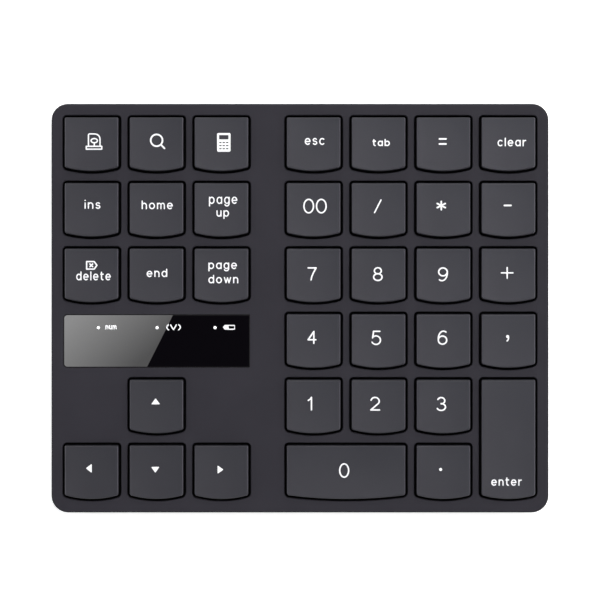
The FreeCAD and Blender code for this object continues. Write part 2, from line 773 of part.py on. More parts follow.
def port_window(reach):
    """The hole for the charging port, through the rear wall."""
    x, z = size.port_place.value, size.port_height.value
    return stadium_solid(x, z, PORT_WINDOW_WIDTH, PORT_WINDOW_TALL, half_depth.value - reach, reach)


def slider_window(reach):
    """The slot that the power switch knob slides in, through the rear wall."""
    width = KNOB_WIDTH + size.switch_travel.value + 2 * SLOT_CLEARANCE
    tall = KNOB_TALL + 2 * SLOT_CLEARANCE
    x = size.switch_place.value
    low = size.switch_height.value - tall / 2
    return Part.makeBox(width, reach, tall, Vector(x - width / 2, half_depth.value - reach, low))


def thumb_scoop():
    """A shallow dip around the slider slot, so that a fingertip reaches the knob."""
    x, z = size.switch_place.value, size.switch_height.value
    axis_y = half_depth.value + SCOOP_RADIUS - SCOOP_DEPTH
    return Part.makeCylinder(SCOOP_RADIUS, SCOOP_TALL, Vector(x, axis_y, z - SCOOP_TALL / 2))


def make_bottom_case():
    """The bottom half of the case: tray, tongue, screw bosses, posts and battery ribs."""
    body = new_body("bottom_case_blank")
    outline = sketch_in(body, "outline", offset=size.stand_height)
    add_rounded_box(outline, 0, 0, half_width, half_depth, case_corners())
    tray = pad(body, outline, size.parting_height - size.stand_height)
    tray = soften(body, tray, level_edge(size.stand_height), size.belly_round)
    soften(body, tray, level_edge(size.parting_height), size.seam_chamfer, "Chamfer")

    tongue = sketch_in(body, "tongue", offset=size.parting_height)
    inset = size.wall_thick / 2 + TONGUE_PLAY
    add_rounded_box(tongue, 0, 0, half_width - inset, half_depth - inset, case_corners(inset))
    pad(body, tongue, size.lip_height)
    beads = sketch_in(body, "snap_beads", offset=size.parting_height + SNAP_LIFT)
    add_snaps(beads, 0)
    pad(body, beads, SNAP_TALL)

    inside = sketch_in(body, "inside", offset=floor_top)
    add_rounded_box(inside, 0, 0, inner_half_width, inner_half_depth, size.front_corner - size.wall_thick)
    pocket(body, inside, lip_top - floor_top + 0.1, towards_plus=True)

    supports = sketch_in(body, "supports", offset=floor_top)
    for x, y in PLATE_POSTS:
        add_circle(supports, x, y, POST_RADIUS)
    for x, y in SCREW_PLACES:
        add_circle(supports, x, y, BOSS_RADIUS)
    pad(body, supports, size.bay_height)

    board_posts = sketch_in(body, "board_posts", offset=floor_top)
    for x, y, length, width in (MAIN_BOARD, REAR_BOARD):
        for side in (-1, 1):
            for end in (-1, 1):
                post_x = x + side * (length / 2 - BOARD_POST_INSET)
                post_y = y + end * (width / 2 - BOARD_POST_INSET)
                add_circle(board_posts, post_x, post_y, BOARD_POST_RADIUS)
    pad(body, board_posts, size.board_lift)

    tray_ribs = sketch_in(body, "tray_ribs", offset=floor_top)
    inner_l, inner_w = BATTERY_LENGTH + 2 * TRAY_GAP, BATTERY_WIDTH + 2 * TRAY_GAP
    add_box(tray_ribs, BATTERY_X, BATTERY_Y, inner_l + 2 * TRAY_RIB, inner_w + 2 * TRAY_RIB)
    add_box(tray_ribs, BATTERY_X, BATTERY_Y, inner_l, inner_w)
    pad(body, tray_ribs, TRAY_RIB_HEIGHT)

    screws = sketch_in(body, "screw_holes", offset=size.stand_height)
    for x, y in SCREW_PLACES:
        add_circle(screws, x, y, SCREW_HOLE_RADIUS)
    pocket(body, screws, plate_under - size.stand_height + 0.1, towards_plus=True)
    heads = sketch_in(body, "head_recesses", offset=size.stand_height)
    for x, y in SCREW_PLACES:
        add_circle(heads, x, y, SCREW_HEAD_RECESS)
    pocket(body, heads, SCREW_HEAD_DEPTH, towards_plus=True)

    sockets = sketch_in(body, "foot_sockets", offset=size.stand_height)
    half_l, half_w = size.foot_length / 2 + FOOT_CLEARANCE, size.foot_width / 2 + FOOT_CLEARANCE
    for x, y in FOOT_PLACES:
        add_rounded_box(sockets, x, y, half_l, half_w, half_w - 0.05)
    pocket(body, sockets, size.foot_sink, towards_plus=True)
    DOC.recompute()
    reach = size.wall_thick.value + 0.2
    rib_x = BATTERY_X - BATTERY_LENGTH / 2 - TRAY_GAP - TRAY_RIB / 2
    lead_gap = block(rib_x, BATTERY_Y, floor_top.value, 2 * TRAY_RIB, 5, TRAY_RIB_HEIGHT + 1)
    tools = [port_window(reach), slider_window(reach), thumb_scoop(), lead_gap]
    return cut_from("bottom_case", body, tools)


# ---------------------------------------------------------------------------------------------
HOOK_PLACES = (-2.8, 2.8)
HOOK_WIDTH = 1.6
HOOK_SHEET = 0.4
HOOK_LIP = 0.3
HOOK_GAP = 0.12


def hook_shapes():
    """The four bent-up hooks of one key: two hold a bar at the rear, two let it slide at the front."""
    shapes = []
    bar_z, bar_r = lower_bar.value, size.bar_radius.value
    lip_under = bar_z + bar_r + HOOK_GAP / 2
    lip_over = lip_under + HOOK_LIP
    for side, slide in ((1, 0.0), (-1, SLIDE_ROOM)):
        wall = bar_reach + bar_r + HOOK_GAP + slide
        points = [
            (wall, plate_top.value), (wall + HOOK_SHEET, plate_top.value),
            (wall + HOOK_SHEET, lip_over), (bar_reach - bar_r, lip_over),
            (bar_reach - bar_r, lip_under), (wall, lip_under),
        ]
        for x in HOOK_PLACES:
            corners = [Vector(x - HOOK_WIDTH / 2, side * y, z) for y, z in points]
            face = Part.Face(Part.makePolygon(corners + corners[:1]))
            shapes.append(face.extrude(Vector(HOOK_WIDTH, 0, 0)))
    return shapes


def wire_eye_shapes():
    """Two eyes on the plate that hold the toes of a long key's stabiliser wire."""
    shapes = []
    for x in EYE_PLACES:
        eye = block(x, WIRE_TOE_SIDE, plate_top.value, EYE_WIDTH, EYE_DEPTH, EYE_TALL)
        start = Vector(x - EYE_WIDTH, WIRE_TOE_SIDE, WIRE_LOW)
        bore = Part.makeCylinder(WIRE_RADIUS + 0.06, 2 * EYE_WIDTH, start, Vector(1, 0, 0))
        shapes.append(eye.cut(bore))
    return shapes


def plate_like(label, height, thick):
    """A thin sheet that fills the case, with rounded corners."""
    body = new_body(label)
    outline = sketch_in(body, "outline", offset=height)
    gap = 0.35
    corner = size.front_corner - size.wall_thick - gap
    add_rounded_box(outline, 0, 0, inner_half_width - gap, inner_half_depth - gap, corner)
    pad(body, outline, thick)
    return body


# Where the lower film's tail goes down through a slot in the plate.
TAIL_X, TAIL_Y = -21.5, 5.5
TAIL_SLOT_WIDTH, TAIL_SLOT_DEPTH = 8.0, 2.2


def sheet_holes(low, tall):
    """Holes that the plate and the membrane share: bosses, lamp pipes and the tail's slot."""
    radius = BOSS_RADIUS + BOSS_CLEARANCE
    holes = [rod(x.value, y.value, low, radius, tall) for x, y in SCREW_PLACES]
    lamp_y = (window_y + size.led_offset).value
    holes += [rod(x.value, lamp_y, low, PIPE_HOLE_RADIUS, tall) for x in led_places()]
    return holes


def make_switch_plate():
    """The steel plate that carries every key, with its bent-up hooks."""
    blank = plate_like("switch_plate_blank", plate_under, size.plate_thick)
    low, tall = plate_under.value - 0.5, size.plate_thick.value + 1
    holes = sheet_holes(low, tall)
    holes.append(block(TAIL_X, TAIL_Y, low, TAIL_SLOT_WIDTH, TAIL_SLOT_DEPTH, tall))
    DOC.recompute()
    drilled = cut_from("switch_plate_drilled", blank, holes)
    hooks = []
    for key in KEYS:
        shapes = hook_shapes()
        if key.is_long:
            shapes += wire_eye_shapes()
        for shape in shapes:
            shape.Placement = key.works_place()
            hooks.append(shape)
    tabs = group_of("switch_plate_hooks", hooks)
    plate = DOC.addObject("Part::MultiFuse", "switch_plate")
    plate.Label = "switch_plate"
    plate.Shapes = [drilled, tabs]
    return plate


def make_membrane():
    """Three films laminated together: printed lower film, punched spacer, printed upper film."""
    nodes = []
    for number, label in enumerate(("membrane_lower_film", "membrane_spacer", "membrane_upper_film")):
        height = plate_top + size.film_thick * number
        blank = plate_like(label + "_blank", height, size.film_thick)
        low, tall = height.value - 0.5, size.film_thick.value + 1
        holes = sheet_holes(low, tall)
        if label != "membrane_lower_film":
            holes.append(block(TAIL_X, TAIL_Y, low, TAIL_SLOT_WIDTH, TAIL_SLOT_DEPTH, tall))
        for key in KEYS:
            holes += key_slots(key, low, tall)
            if label == "membrane_spacer":
                holes.append(rod(key.x.value, key.y.value, low, 2.4, tall))
        DOC.recompute()
        nodes.append(cut_from(label, blank, holes))
    return nodes


def key_slots(key, low, tall):
    """Slots in a film where the hooks of one key come through."""
    width = HOOK_PLACES[1] - HOOK_PLACES[0] + HOOK_WIDTH + 0.4
    slots = []
    for side, slide in ((1, 0.0), (-1, SLIDE_ROOM)):
        wall = bar_reach + size.bar_radius.value + HOOK_GAP + slide + HOOK_SHEET / 2
        slots.append(block(0, side * wall, low, width, HOOK_SHEET + 0.3, tall))
    if key.is_long:
        for x in EYE_PLACES:
            slots.append(block(x, WIRE_TOE_SIDE, low, EYE_WIDTH + 0.4, EYE_DEPTH + 0.4, tall))
    for slot in slots:
        slot.Placement = key.works_place()
    return slots


# ---------------------------------------------------------------------------------------------
DOME_FOOT_RADIUS, DOME_TOP_RADIUS = 3.4, 1.7
DOME_FLANGE, DOME_WALL = 0.25, 0.35
DOME_PLAY = 0.02


def make_dome_master():
    """A silicone dome: flange, thin cone, solid top and a contact stud hanging inside."""
    body = new_body("dome_master")
    sketch = sketch_in(body, "profile", plane="XZ_Plane")
    low = film_top.value
    high = roof_under.value - PLUNGER_DROP - DOME_PLAY
    cone_foot = DOME_FOOT_RADIUS - 0.5
    stud_low = low + size.key_travel.value - 0.35
    points = [
        (0, high), (0, stud_low), (0.8, stud_low), (0.9, high - 0.5),
        (DOME_TOP_RADIUS - DOME_WALL, high - 0.5), (cone_foot - DOME_WALL, low + DOME_FLANGE),
        (cone_foot - DOME_WALL, low), (DOME_FOOT_RADIUS, low), (DOME_FOOT_RADIUS, low + DOME_FLANGE),
        (cone_foot, low + DOME_FLANGE), (DOME_TOP_RADIUS, high - 0.3), (DOME_TOP_RADIUS - 0.25, high),
    ]
    add_polygon(sketch, points)
    turn = body.newObject("PartDesign::Revolution", "dome_turn")
    turn.Profile = sketch
    turn.ReferenceAxis = (sketch, ["V_Axis"])
    turn.Angle = 360
    return body


OUTER_ARM_IN, OUTER_ARM_OUT = 5.3, 6.3
INNER_ARM_IN, INNER_ARM_OUT = 4.1, 5.1
PIVOT_PIN_RADIUS, PIVOT_HOLE_RADIUS, PIVOT_BOSS_RADIUS = 0.3, 0.34, 0.75


def make_scissor_frame(label, arm_in, arm_out):
    """A flat frame about the origin: two arms joined by a round hinge bar at each end."""
    body = new_body(label)
    half = size.arm_length / 2
    arms = sketch_in(body, "arms")
    for side in (-1, 1):
        add_box(arms, side * (arm_in + arm_out) / 2, 0, arm_out - arm_in, size.arm_length)
    body.AllowCompound = True
    pad(body, arms, size.arm_thick, both_ways=True)
    bars = sketch_in(body, "bars", plane="YZ_Plane")
    for y in (-half, half):
        add_circle(bars, y, 0, size.bar_radius)
    pad(body, bars, 2 * arm_out, both_ways=True)
    return body


def make_outer_master():
    """The outer scissor frame, with a bored boss on each arm for the pivot."""
    body = make_scissor_frame("outer_frame_master", OUTER_ARM_IN, OUTER_ARM_OUT)
    for side in (-1, 1):
        name = "left" if side < 0 else "right"
        start = as_dim(side * OUTER_ARM_IN)
        boss = sketch_in(body, name + "_boss", plane="YZ_Plane", offset=start)
        add_circle(boss, 0, 0, PIVOT_BOSS_RADIUS)
        pad(body, boss, OUTER_ARM_OUT - OUTER_ARM_IN, towards_plus=side > 0)
    bore = sketch_in(body, "bore", plane="YZ_Plane")
    add_circle(bore, 0, 0, PIVOT_HOLE_RADIUS)
    pocket(body, bore, 2 * OUTER_ARM_OUT + 1, both_ways=True)
    return body


def make_inner_master():
    """The inner scissor frame, with a pivot pin standing out of each arm."""
    body = make_scissor_frame("inner_frame_master", INNER_ARM_IN, INNER_ARM_OUT)
    for side in (-1, 1):
        name = "left" if side < 0 else "right"
        start = as_dim(side * INNER_ARM_IN)
        pin = sketch_in(body, name + "_pin", plane="YZ_Plane", offset=start)
        add_circle(pin, 0, 0, PIVOT_PIN_RADIUS)
        pad(body, pin, OUTER_ARM_OUT - 0.1 - INNER_ARM_IN, towards_plus=side > 0)
    return body


def at_keys(tilt):
    """A placement at every key, at the scissor's pivot, tilted about the hinge bars' direction."""
    pivot = Placement(Vector(0, 0, arm_middle), Rotation(Vector(1, 0, 0), tilt))
    return [key.works_place().multiply(pivot) for key in KEYS]


def make_key_works():
    """Domes and scissor frames, one of each under every key."""
    domes = group_of("rubber_domes", copies(make_dome_master(), [key.place() for key in KEYS]))
    outer = group_of("scissor_outer_frames", copies(make_outer_master(), at_keys(-arm_tilt)))
    inner = group_of("scissor_inner_frames", copies(make_inner_master(), at_keys(arm_tilt)))
    return [domes, outer, inner]


def stabiliser_wire(key):
    """A bent steel wire: a long bar clipped to the cap, two legs, and toes hooked in the plate."""
    rise = WIRE_HIGH - WIRE_LOW
    run = WIRE_SIDE - WIRE_TOE_SIDE
    leg = math.hypot(rise, run)
    bend = 1.0
    reach = WIRE_HALF_LENGTH
    corners = [
        Vector(reach - WIRE_TOE, -leg, 0), Vector(reach, -leg, 0), Vector(reach, 0, 0),
        Vector(-reach, 0, 0), Vector(-reach, -leg, 0), Vector(WIRE_TOE - reach, -leg, 0),
    ]
    edges, start = [], corners[0]
    for before, corner, after in zip(corners, corners[1:], corners[2:]):
        into = (corner - before).normalize()
        out = (after - corner).normalize()
        radius = min(bend, WIRE_TOE * 0.6) if before == corners[0] or after == corners[-1] else bend
        first, last = corner - into * radius, corner + out * radius
        middle = corner + (out - into) * radius * (1 - math.sqrt(0.5))
        edges.append(Part.LineSegment(start, first).toShape())
        edges.append(Part.Arc(first, middle, last).toShape())
        start = last
    edges.append(Part.LineSegment(start, corners[-1]).toShape())
    path = Part.Wire(edges)
    circle = Part.Wire([Part.Circle(corners[0], Vector(1, 0, 0), WIRE_RADIUS).toShape()])
    wire = path.makePipeShell([circle], True, False)
    slope = Rotation(Vector(1, 0, 0), math.degrees(math.asin(rise / leg)))
    wire.Placement = key.works_place().multiply(Placement(Vector(0, WIRE_SIDE, WIRE_HIGH), slope))
    return wire


def make_stabilisers():
    wires = [stabiliser_wire(KEY_BY_NAME[name]) for name in (TWO_COLUMNS_WIDE, TWO_ROWS_DEEP)]
    return group_of("stabiliser_wires", wires)


# ---------------------------------------------------------------------------------------------
def make_window():
    """The glossy indicator window, let into the deck."""
    body = new_body("indicator_window")
    sketch = sketch_in(body, "outline", offset=window_under)
    half_w, half_d = size.window_width / 2, size.window_depth / 2
    add_rounded_box(sketch, window_x, window_y, half_w, half_d, window_corners())
    lens = pad(body, sketch, size.window_thick)
    soften(body, lens, level_edge(size.deck_height), size.window_round)
    return body


def make_light_guide():
    """A clear bar with three pipes that carry the lamps' light up to the window."""
    body = new_body("light_guide")
    lamp_y = window_y + size.led_offset
    bar = sketch_in(body, "bar", offset=film_top + 0.1)
    add_rounded_box(bar, window_x, lamp_y, size.led_step + 2.5, 1.6, 1.5)
    pad(body, bar, 0.8)
    pipe_low = board_top + LED_TALL + 0.15
    pipes = sketch_in(body, "pipes", offset=pipe_low)
    for x in led_places():
        add_circle(pipes, x, lamp_y, PIPE_RADIUS)
    pad(body, pipes, window_under - 0.02 - pipe_low)
    return body


LED_LENGTH, LED_WIDTH, LED_BASE, LED_TALL = 1.6, 0.8, 0.4, 0.75


def make_leds():
    """Three surface-mount lamps on the main board, a lens on each body."""
    lamp_y = (window_y + size.led_offset).value
    low = board_top.value
    lamps = []
    for x in led_places():
        base = block(x.value, lamp_y, low, LED_LENGTH, LED_WIDTH, LED_BASE)
        lens = block(x.value, lamp_y, low, LED_LENGTH - 0.6, LED_WIDTH, LED_TALL)
        lamps.append(base.fuse(lens).removeSplitter())
    return group_of("indicator_leds", lamps)


def make_board(label, place, notch=None):
    """A circuit board with plated holes in its corners, and a notch where a part sits in its edge."""
    x, y, length, width = place
    body = new_body(label)
    outline = sketch_in(body, "outline", offset=board_under)
    add_rounded_box(outline, x, y, length / 2, width / 2, 0.8)
    pad(body, outline, size.board_thick)
    holes = sketch_in(body, "holes", offset=board_under)
    for side in (-1, 1):
        for end in (-1, 1):
            hole_x = x + side * (length / 2 - BOARD_POST_INSET)
            add_circle(holes, hole_x, y + end * (width / 2 - BOARD_POST_INSET), 0.6)
    pocket(body, holes, size.board_thick + 0.1, towards_plus=True)
    if notch is not None:
        gap = sketch_in(body, "notch", offset=board_under)
        add_box(gap, *notch)
        pocket(body, gap, size.board_thick + 0.1, towards_plus=True)
    return body


# Controller, radio and charger as (x, y, side, height), then the small parts' places.
CHIPS = [(-51.0, -13.0, 6.0, 1.2), (-36.0, -13.5, 4.0, 0.9), (-27.0, 49.5, 3.0, 0.9)]
LEAD_STEP = 0.8
SMALL_PARTS = [(-44, -14), (-43, -11), (-30, -14.5), (-57, -14), (-44, 47), (-42, 47), (-26.5, 46)]
CRYSTAL = (-58.0, -10.0)


def make_chips():
    """Controller, radio, charger and small parts, as flat packages with a foot print of leads."""
    top = board_top.value
    chips = []
    for x, y, side, tall in CHIPS:
        case = block(x, y, top + 0.08, side, side, tall)
        row = int(side / 2 / LEAD_STEP)
        leads = [
            block(x, y + step * LEAD_STEP, top, side + 1.2, 0.35, 0.15)
            for step in range(-row, row + 1)
        ]
        chips.append(case.fuse(leads).removeSplitter())
    for x, y in SMALL_PARTS:
        chips.append(block(x, y, top, 1.0, 0.5, 0.45))
    chips.append(block(*CRYSTAL, top, 3.2, 2.0, 0.8))
    return group_of("board_chips", chips)


RIBBON_X, RIBBON_Y = -50.5, (-1.5, 46.0)
RIBBON_WIDTH, RIBBON_THICK, RIBBON_LIFT = 6.0, 0.15, 0.6
SOCKET_DEPTH, SOCKET_TALL = 3.2, 1.3
TAIL_SOCKET_Y, TAIL_RIBBON_WIDTH = -1.6, 5.0
BATTERY_SOCKET_X, BATTERY_SOCKET_WIDTH = -18.4, 3.4


def make_connectors():
    """Flat-cable sockets on both boards, the tail's socket and the battery socket."""
    top = board_top.value
    half = SOCKET_DEPTH / 2
    sockets = [
        block(RIBBON_X, RIBBON_Y[0] - half, top, RIBBON_WIDTH + 2, SOCKET_DEPTH, SOCKET_TALL),
        block(RIBBON_X, RIBBON_Y[1] + half, top, RIBBON_WIDTH + 2, SOCKET_DEPTH, SOCKET_TALL),
        block(TAIL_X, TAIL_SOCKET_Y, top, TAIL_RIBBON_WIDTH + 1.6, SOCKET_DEPTH, SOCKET_TALL),
        block(BATTERY_SOCKET_X, BATTERY_Y, top, BATTERY_SOCKET_WIDTH, 5.0, 1.8),
    ]
    return group_of("board_connectors", sockets)


def make_flat_cables():
    """The ribbon that joins the boards, and the membrane's tail down to the main board."""
    low = board_top.value + RIBBON_LIFT
    length = RIBBON_Y[1] - RIBBON_Y[0]
    middle = (RIBBON_Y[0] + RIBBON_Y[1]) / 2
    ribbon = block(RIBBON_X, middle, low, RIBBON_WIDTH, length, RIBBON_THICK)
    thick, bend = RIBBON_THICK, plate_under.value - 0.5
    socket_face = TAIL_SOCKET_Y + SOCKET_DEPTH / 2
    points = [
        (TAIL_Y, plate_top.value), (TAIL_Y, bend), (TAIL_Y - 2.5, low), (socket_face, low),
        (socket_face, low + thick), (TAIL_Y - 2.5 - thick / 2, low + thick),
        (TAIL_Y - thick, bend + thick / 2), (TAIL_Y - thick, plate_top.value),
    ]
    corners = [Vector(TAIL_X - TAIL_RIBBON_WIDTH / 2, y, z) for y, z in points]
    face = Part.Face(Part.makePolygon(corners + corners[:1]))
    return group_of("flat_cables", [ribbon, face.extrude(Vector(TAIL_RIBBON_WIDTH, 0, 0))])


def make_battery():
    """A flat pouch cell with rounded long edges and a sealed end."""
    body = new_body("battery_cell")
    low = floor_top + BATTERY_LIFT
    pouch = sketch_in(body, "pouch", offset=low)
    add_rounded_box(pouch, BATTERY_X, BATTERY_Y, BATTERY_LENGTH / 2, BATTERY_WIDTH / 2, 1.2)
    cell = pad(body, pouch, BATTERY_THICK)

    def rim(edge):
        box = edge.BoundBox
        return box.ZLength < 1e-4

    soften(body, cell, rim, 0.8)
    return body


LEAD_RADIUS = 0.55


def make_battery_leads():
    """Two insulated leads from the cell's end to the socket on the main board."""
    leads = []
    z = board_top.value + 0.9
    start_x = BATTERY_X - BATTERY_LENGTH / 2
    end_x = BATTERY_SOCKET_X + BATTERY_SOCKET_WIDTH / 2
    for side in (-1, 1):
        y = BATTERY_Y + side * 0.9
        lead = Part.makeCylinder(LEAD_RADIUS, start_x - end_x, Vector(end_x, y, z), Vector(1, 0, 0))
        leads.append(lead)
    return group_of("battery_leads", leads)


# ---------------------------------------------------------------------------------------------
def make_charging_port():
    """A drawn steel shell, closed at the back, and the tongue that carries the contacts."""
    x, z = size.port_place.value, size.port_height.value
    mouth = half_depth.value - PORT_SETBACK
    low = mouth - PORT_LENGTH
    shell = stadium_solid(x, z, PORT_WIDTH, PORT_TALL, low, PORT_LENGTH)
    bore = stadium_solid(
        x, z, PORT_WIDTH - 2 * PORT_SHELL, PORT_TALL - 2 * PORT_SHELL, low + 1.2, PORT_LENGTH,
    )
    tongue = block(x, low + 1.2 + 2.25, z - 0.35, 6.7, 4.5, 0.7)
    return group_of("charging_port", [shell.cut(bore), tongue])


SWITCH_REAR = half_depth.value - 2.75
SWITCH_LENGTH, SWITCH_DEPTH = 8.6, 3.8
STEM_WIDTH, STEM_LENGTH, STEM_TALL, STEM_PLAY = 2.4, 3.0, 1.0, 0.12
STEM_INSIDE = 1.5
GRIP_STEP, GRIP_WIDTH, GRIP_DEPTH = 0.75, 0.3, 0.3


def make_power_switch():
    """The switch body on the rear board, and the slider that is moved with a fingertip."""
    x, z = size.switch_place.value, size.switch_height.value
    tall = 2 * (z - board_top.value)
    can = block(x, SWITCH_REAR - SWITCH_DEPTH / 2, board_top.value, SWITCH_LENGTH, SWITCH_DEPTH, tall)
    slot_width = STEM_WIDTH + size.switch_travel.value + 2 * STEM_PLAY
    slot_tall = STEM_TALL + 2 * STEM_PLAY
    slot_y = SWITCH_REAR - STEM_INSIDE - 0.1 + STEM_LENGTH / 2
    slot = block(x, slot_y, z - slot_tall / 2, slot_width, STEM_LENGTH, slot_tall)
    body = group_of("power_switch_body", [can.cut(slot)])

    rest_x = x - size.switch_travel.value / 2
    stem_y = SWITCH_REAR - STEM_INSIDE + STEM_LENGTH / 2
    stem = block(rest_x, stem_y, z - STEM_TALL / 2, STEM_WIDTH, STEM_LENGTH, STEM_TALL)
    knob_low = SWITCH_REAR + 0.25
    knob_high = half_depth.value - KNOB_SETBACK
    knob_z = z - KNOB_TALL / 2
    knob = block(rest_x, (knob_low + knob_high) / 2, knob_z, KNOB_WIDTH, knob_high - knob_low, KNOB_TALL)
    grooves = [
        block(rest_x + step * GRIP_STEP, knob_high, knob_z, GRIP_WIDTH, 2 * GRIP_DEPTH, KNOB_TALL)
        for step in (-1, 0, 1)
    ]
    knob = knob.makeFillet(0.25, [edge for edge in knob.Edges if upright_edge(edge)])
    slider = DOC.addObject("Part::Feature", "power_switch_slider")
    slider.Label = "power_switch_slider"
    slider.Shape = stem.fuse(knob).cut(Part.makeCompound(grooves)).removeSplitter()
    return [body, slider]


def make_screws():
    """Five pan-head screws driven up from below, each with a cross recess."""
    body = new_body("screw_master")
    head_under = size.stand_height + SCREW_HEAD_DEPTH
    sketch = sketch_in(body, "profile", plane="XZ_Plane")
    head_low = head_under - 0.95
    tip = deck_under + 0.3
    radius = SCREW_SHANK_RADIUS - 0.03
    points = [
        (0, head_low), (SCREW_HEAD_RADIUS - 0.35, head_low), (SCREW_HEAD_RADIUS, head_low + 0.35),
        (SCREW_HEAD_RADIUS, head_under), (radius, head_under), (radius, tip - 0.6), (0.2, tip), (0, tip),
    ]
    add_polygon(sketch, points)
    turn = body.newObject("PartDesign::Revolution", "screw_turn")
    turn.Profile = sketch
    turn.ReferenceAxis = (sketch, ["V_Axis"])
    turn.Angle = 360
    cross = sketch_in(body, "cross", offset=head_low)
    arm, half = 1.1, 0.22
    points = [
        (arm, -half), (arm, half), (half, half), (half, arm), (-half, arm), (-half, half),
        (-arm, half), (-arm, -half), (-half, -half), (-half, -arm), (half, -arm), (half, -half),
    ]
    add_polygon(cross, points)
    pocket(body, cross, 0.6, towards_plus=True)
    places = [Placement(Vector(x.value, y.value, 0), Rotation()) for x, y in SCREW_PLACES]
    return group_of("case_screws", copies(body, places))


def make_feet():
    """Four rubber feet with a softened lower edge."""
    body = new_body("foot_master")
    sketch = sketch_in(body, "outline")
    half_w = size.foot_width / 2
    add_rounded_box(sketch, 0, 0, size.foot_length / 2, half_w, half_w - 0.05)
    foot = pad(body, sketch, size.stand_height + size.foot_sink)
    soften(body, foot, level_edge(as_dim(0)), 0.3)
    places = [Placement(Vector(x, y, 0), Rotation()) for x, y in FOOT_PLACES]
    return group_of("rubber_feet", copies(body, places))


# ---------------------------------------------------------------------------------------------
def build_all():
    """Every sub-part that is written out, in the order of a bench assembly."""
    nodes = [make_keycap(key) for key in KEYS]
    nodes += [make_top_frame(), make_bottom_case(), make_switch_plate()]
    nodes += make_membrane()
    nodes += make_key_works()
    nodes += [make_stabilisers(), make_window(), make_light_guide(), make_leds()]
    nodes.append(make_board("main_board", MAIN_BOARD))
    notch_depth = PORT_LENGTH + 1
    notch_y = half_depth.value - PORT_SETBACK - PORT_LENGTH - 0.15 + notch_depth / 2
    notch = (size.port_place.value, notch_y, PORT_WIDTH + 0.3, notch_depth)
    nodes.append(make_board("rear_board", REAR_BOARD, notch))
    nodes += [make_chips(), make_connectors(), make_flat_cables()]
    nodes += [make_battery(), make_battery_leads(), make_charging_port()]
    nodes += make_power_switch()
    nodes += [make_screws(), make_feet()]
    DOC.recompute()
    return nodes


def check(nodes):
    """Stops if anything in the document failed, or a sub-part isn't sound."""
    for item in DOC.Objects:
        if "Invalid" in item.State or "Error" in item.State:
            raise RuntimeError("%s failed: %s" % (item.Label, item.State))
    for node in nodes:
        shape = node.Shape
        if shape.isNull() or not shape.isValid() or not shape.Solids:
            raise RuntimeError(node.Label + " isn't a sound solid")


def main():
    nodes = build_all()
    check(nodes)
    os.makedirs("parts", exist_ok=True)
    for node in nodes:
        node.Shape.exportStep("parts/%s.step" % node.Label)
        print("%-24s solids %2d  volume %10.2f" % (node.Label, len(node.Shape.Solids), node.Shape.Volume))


main()
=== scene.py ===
import json
import math

import bmesh
import bpy
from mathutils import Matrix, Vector
from mathutils.bvhtree import BVHTree
from mathutils.geometry import delaunay_2d_cdt


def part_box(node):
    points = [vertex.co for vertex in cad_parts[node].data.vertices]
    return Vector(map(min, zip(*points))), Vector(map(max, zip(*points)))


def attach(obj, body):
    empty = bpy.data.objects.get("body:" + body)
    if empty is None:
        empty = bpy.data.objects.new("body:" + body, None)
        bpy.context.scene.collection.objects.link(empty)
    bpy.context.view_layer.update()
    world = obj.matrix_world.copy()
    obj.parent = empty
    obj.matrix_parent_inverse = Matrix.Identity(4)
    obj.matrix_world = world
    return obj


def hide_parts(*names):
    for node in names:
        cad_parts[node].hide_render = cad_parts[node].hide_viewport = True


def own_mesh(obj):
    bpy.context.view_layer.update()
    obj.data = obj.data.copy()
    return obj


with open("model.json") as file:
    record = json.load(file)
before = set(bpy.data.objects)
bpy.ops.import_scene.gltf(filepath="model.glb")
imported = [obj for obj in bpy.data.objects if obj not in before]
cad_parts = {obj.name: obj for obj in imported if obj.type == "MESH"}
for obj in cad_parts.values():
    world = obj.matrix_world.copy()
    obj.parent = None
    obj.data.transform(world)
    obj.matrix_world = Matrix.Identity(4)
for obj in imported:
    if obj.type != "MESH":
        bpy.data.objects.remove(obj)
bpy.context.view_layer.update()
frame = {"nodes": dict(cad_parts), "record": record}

# The looks of a slim numeric keypad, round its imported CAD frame. Metres, Z up, X to the right and Y
# to the rear. Sizes that end in _mm, and all sizes of the printed marks, are in millimetres.

NODES = frame["nodes"]
RECORD = frame["record"]
MM = 0.001
KEY_NAMES = sorted(name.removeprefix("keycap_") for name in NODES if name.startswith("keycap_"))


def middle(node):
    low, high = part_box(node)
    return (low + high) / 2


KEY_CENTRES = {name: middle("keycap_" + name) for name in KEY_NAMES}

# ----------------------------------------------------------------------------------------------
# Printed marks. A stroke is a list of points along its middle line, which a round pen follows.
# A letter is its width and its strokes, in a box whose lower-case height is 1.
SHARP_TURN = math.radians(30)
ARC_STEP_DEGREES = 12
CAP_STEPS = 6


def arc(cx, cy, rx, ry, first=0, last=360):
    steps = max(4, round(abs(last - first) / ARC_STEP_DEGREES))
    angles = [math.radians(first + (last - first) * i / steps) for i in range(steps + 1)]
    return [(cx + rx * math.cos(a), cy + ry * math.sin(a)) for a in angles]


def dot(x, y):
    """A stroke so short that only the pen's own disc shows."""
    return [(x, y), (x + 0.01, y)]


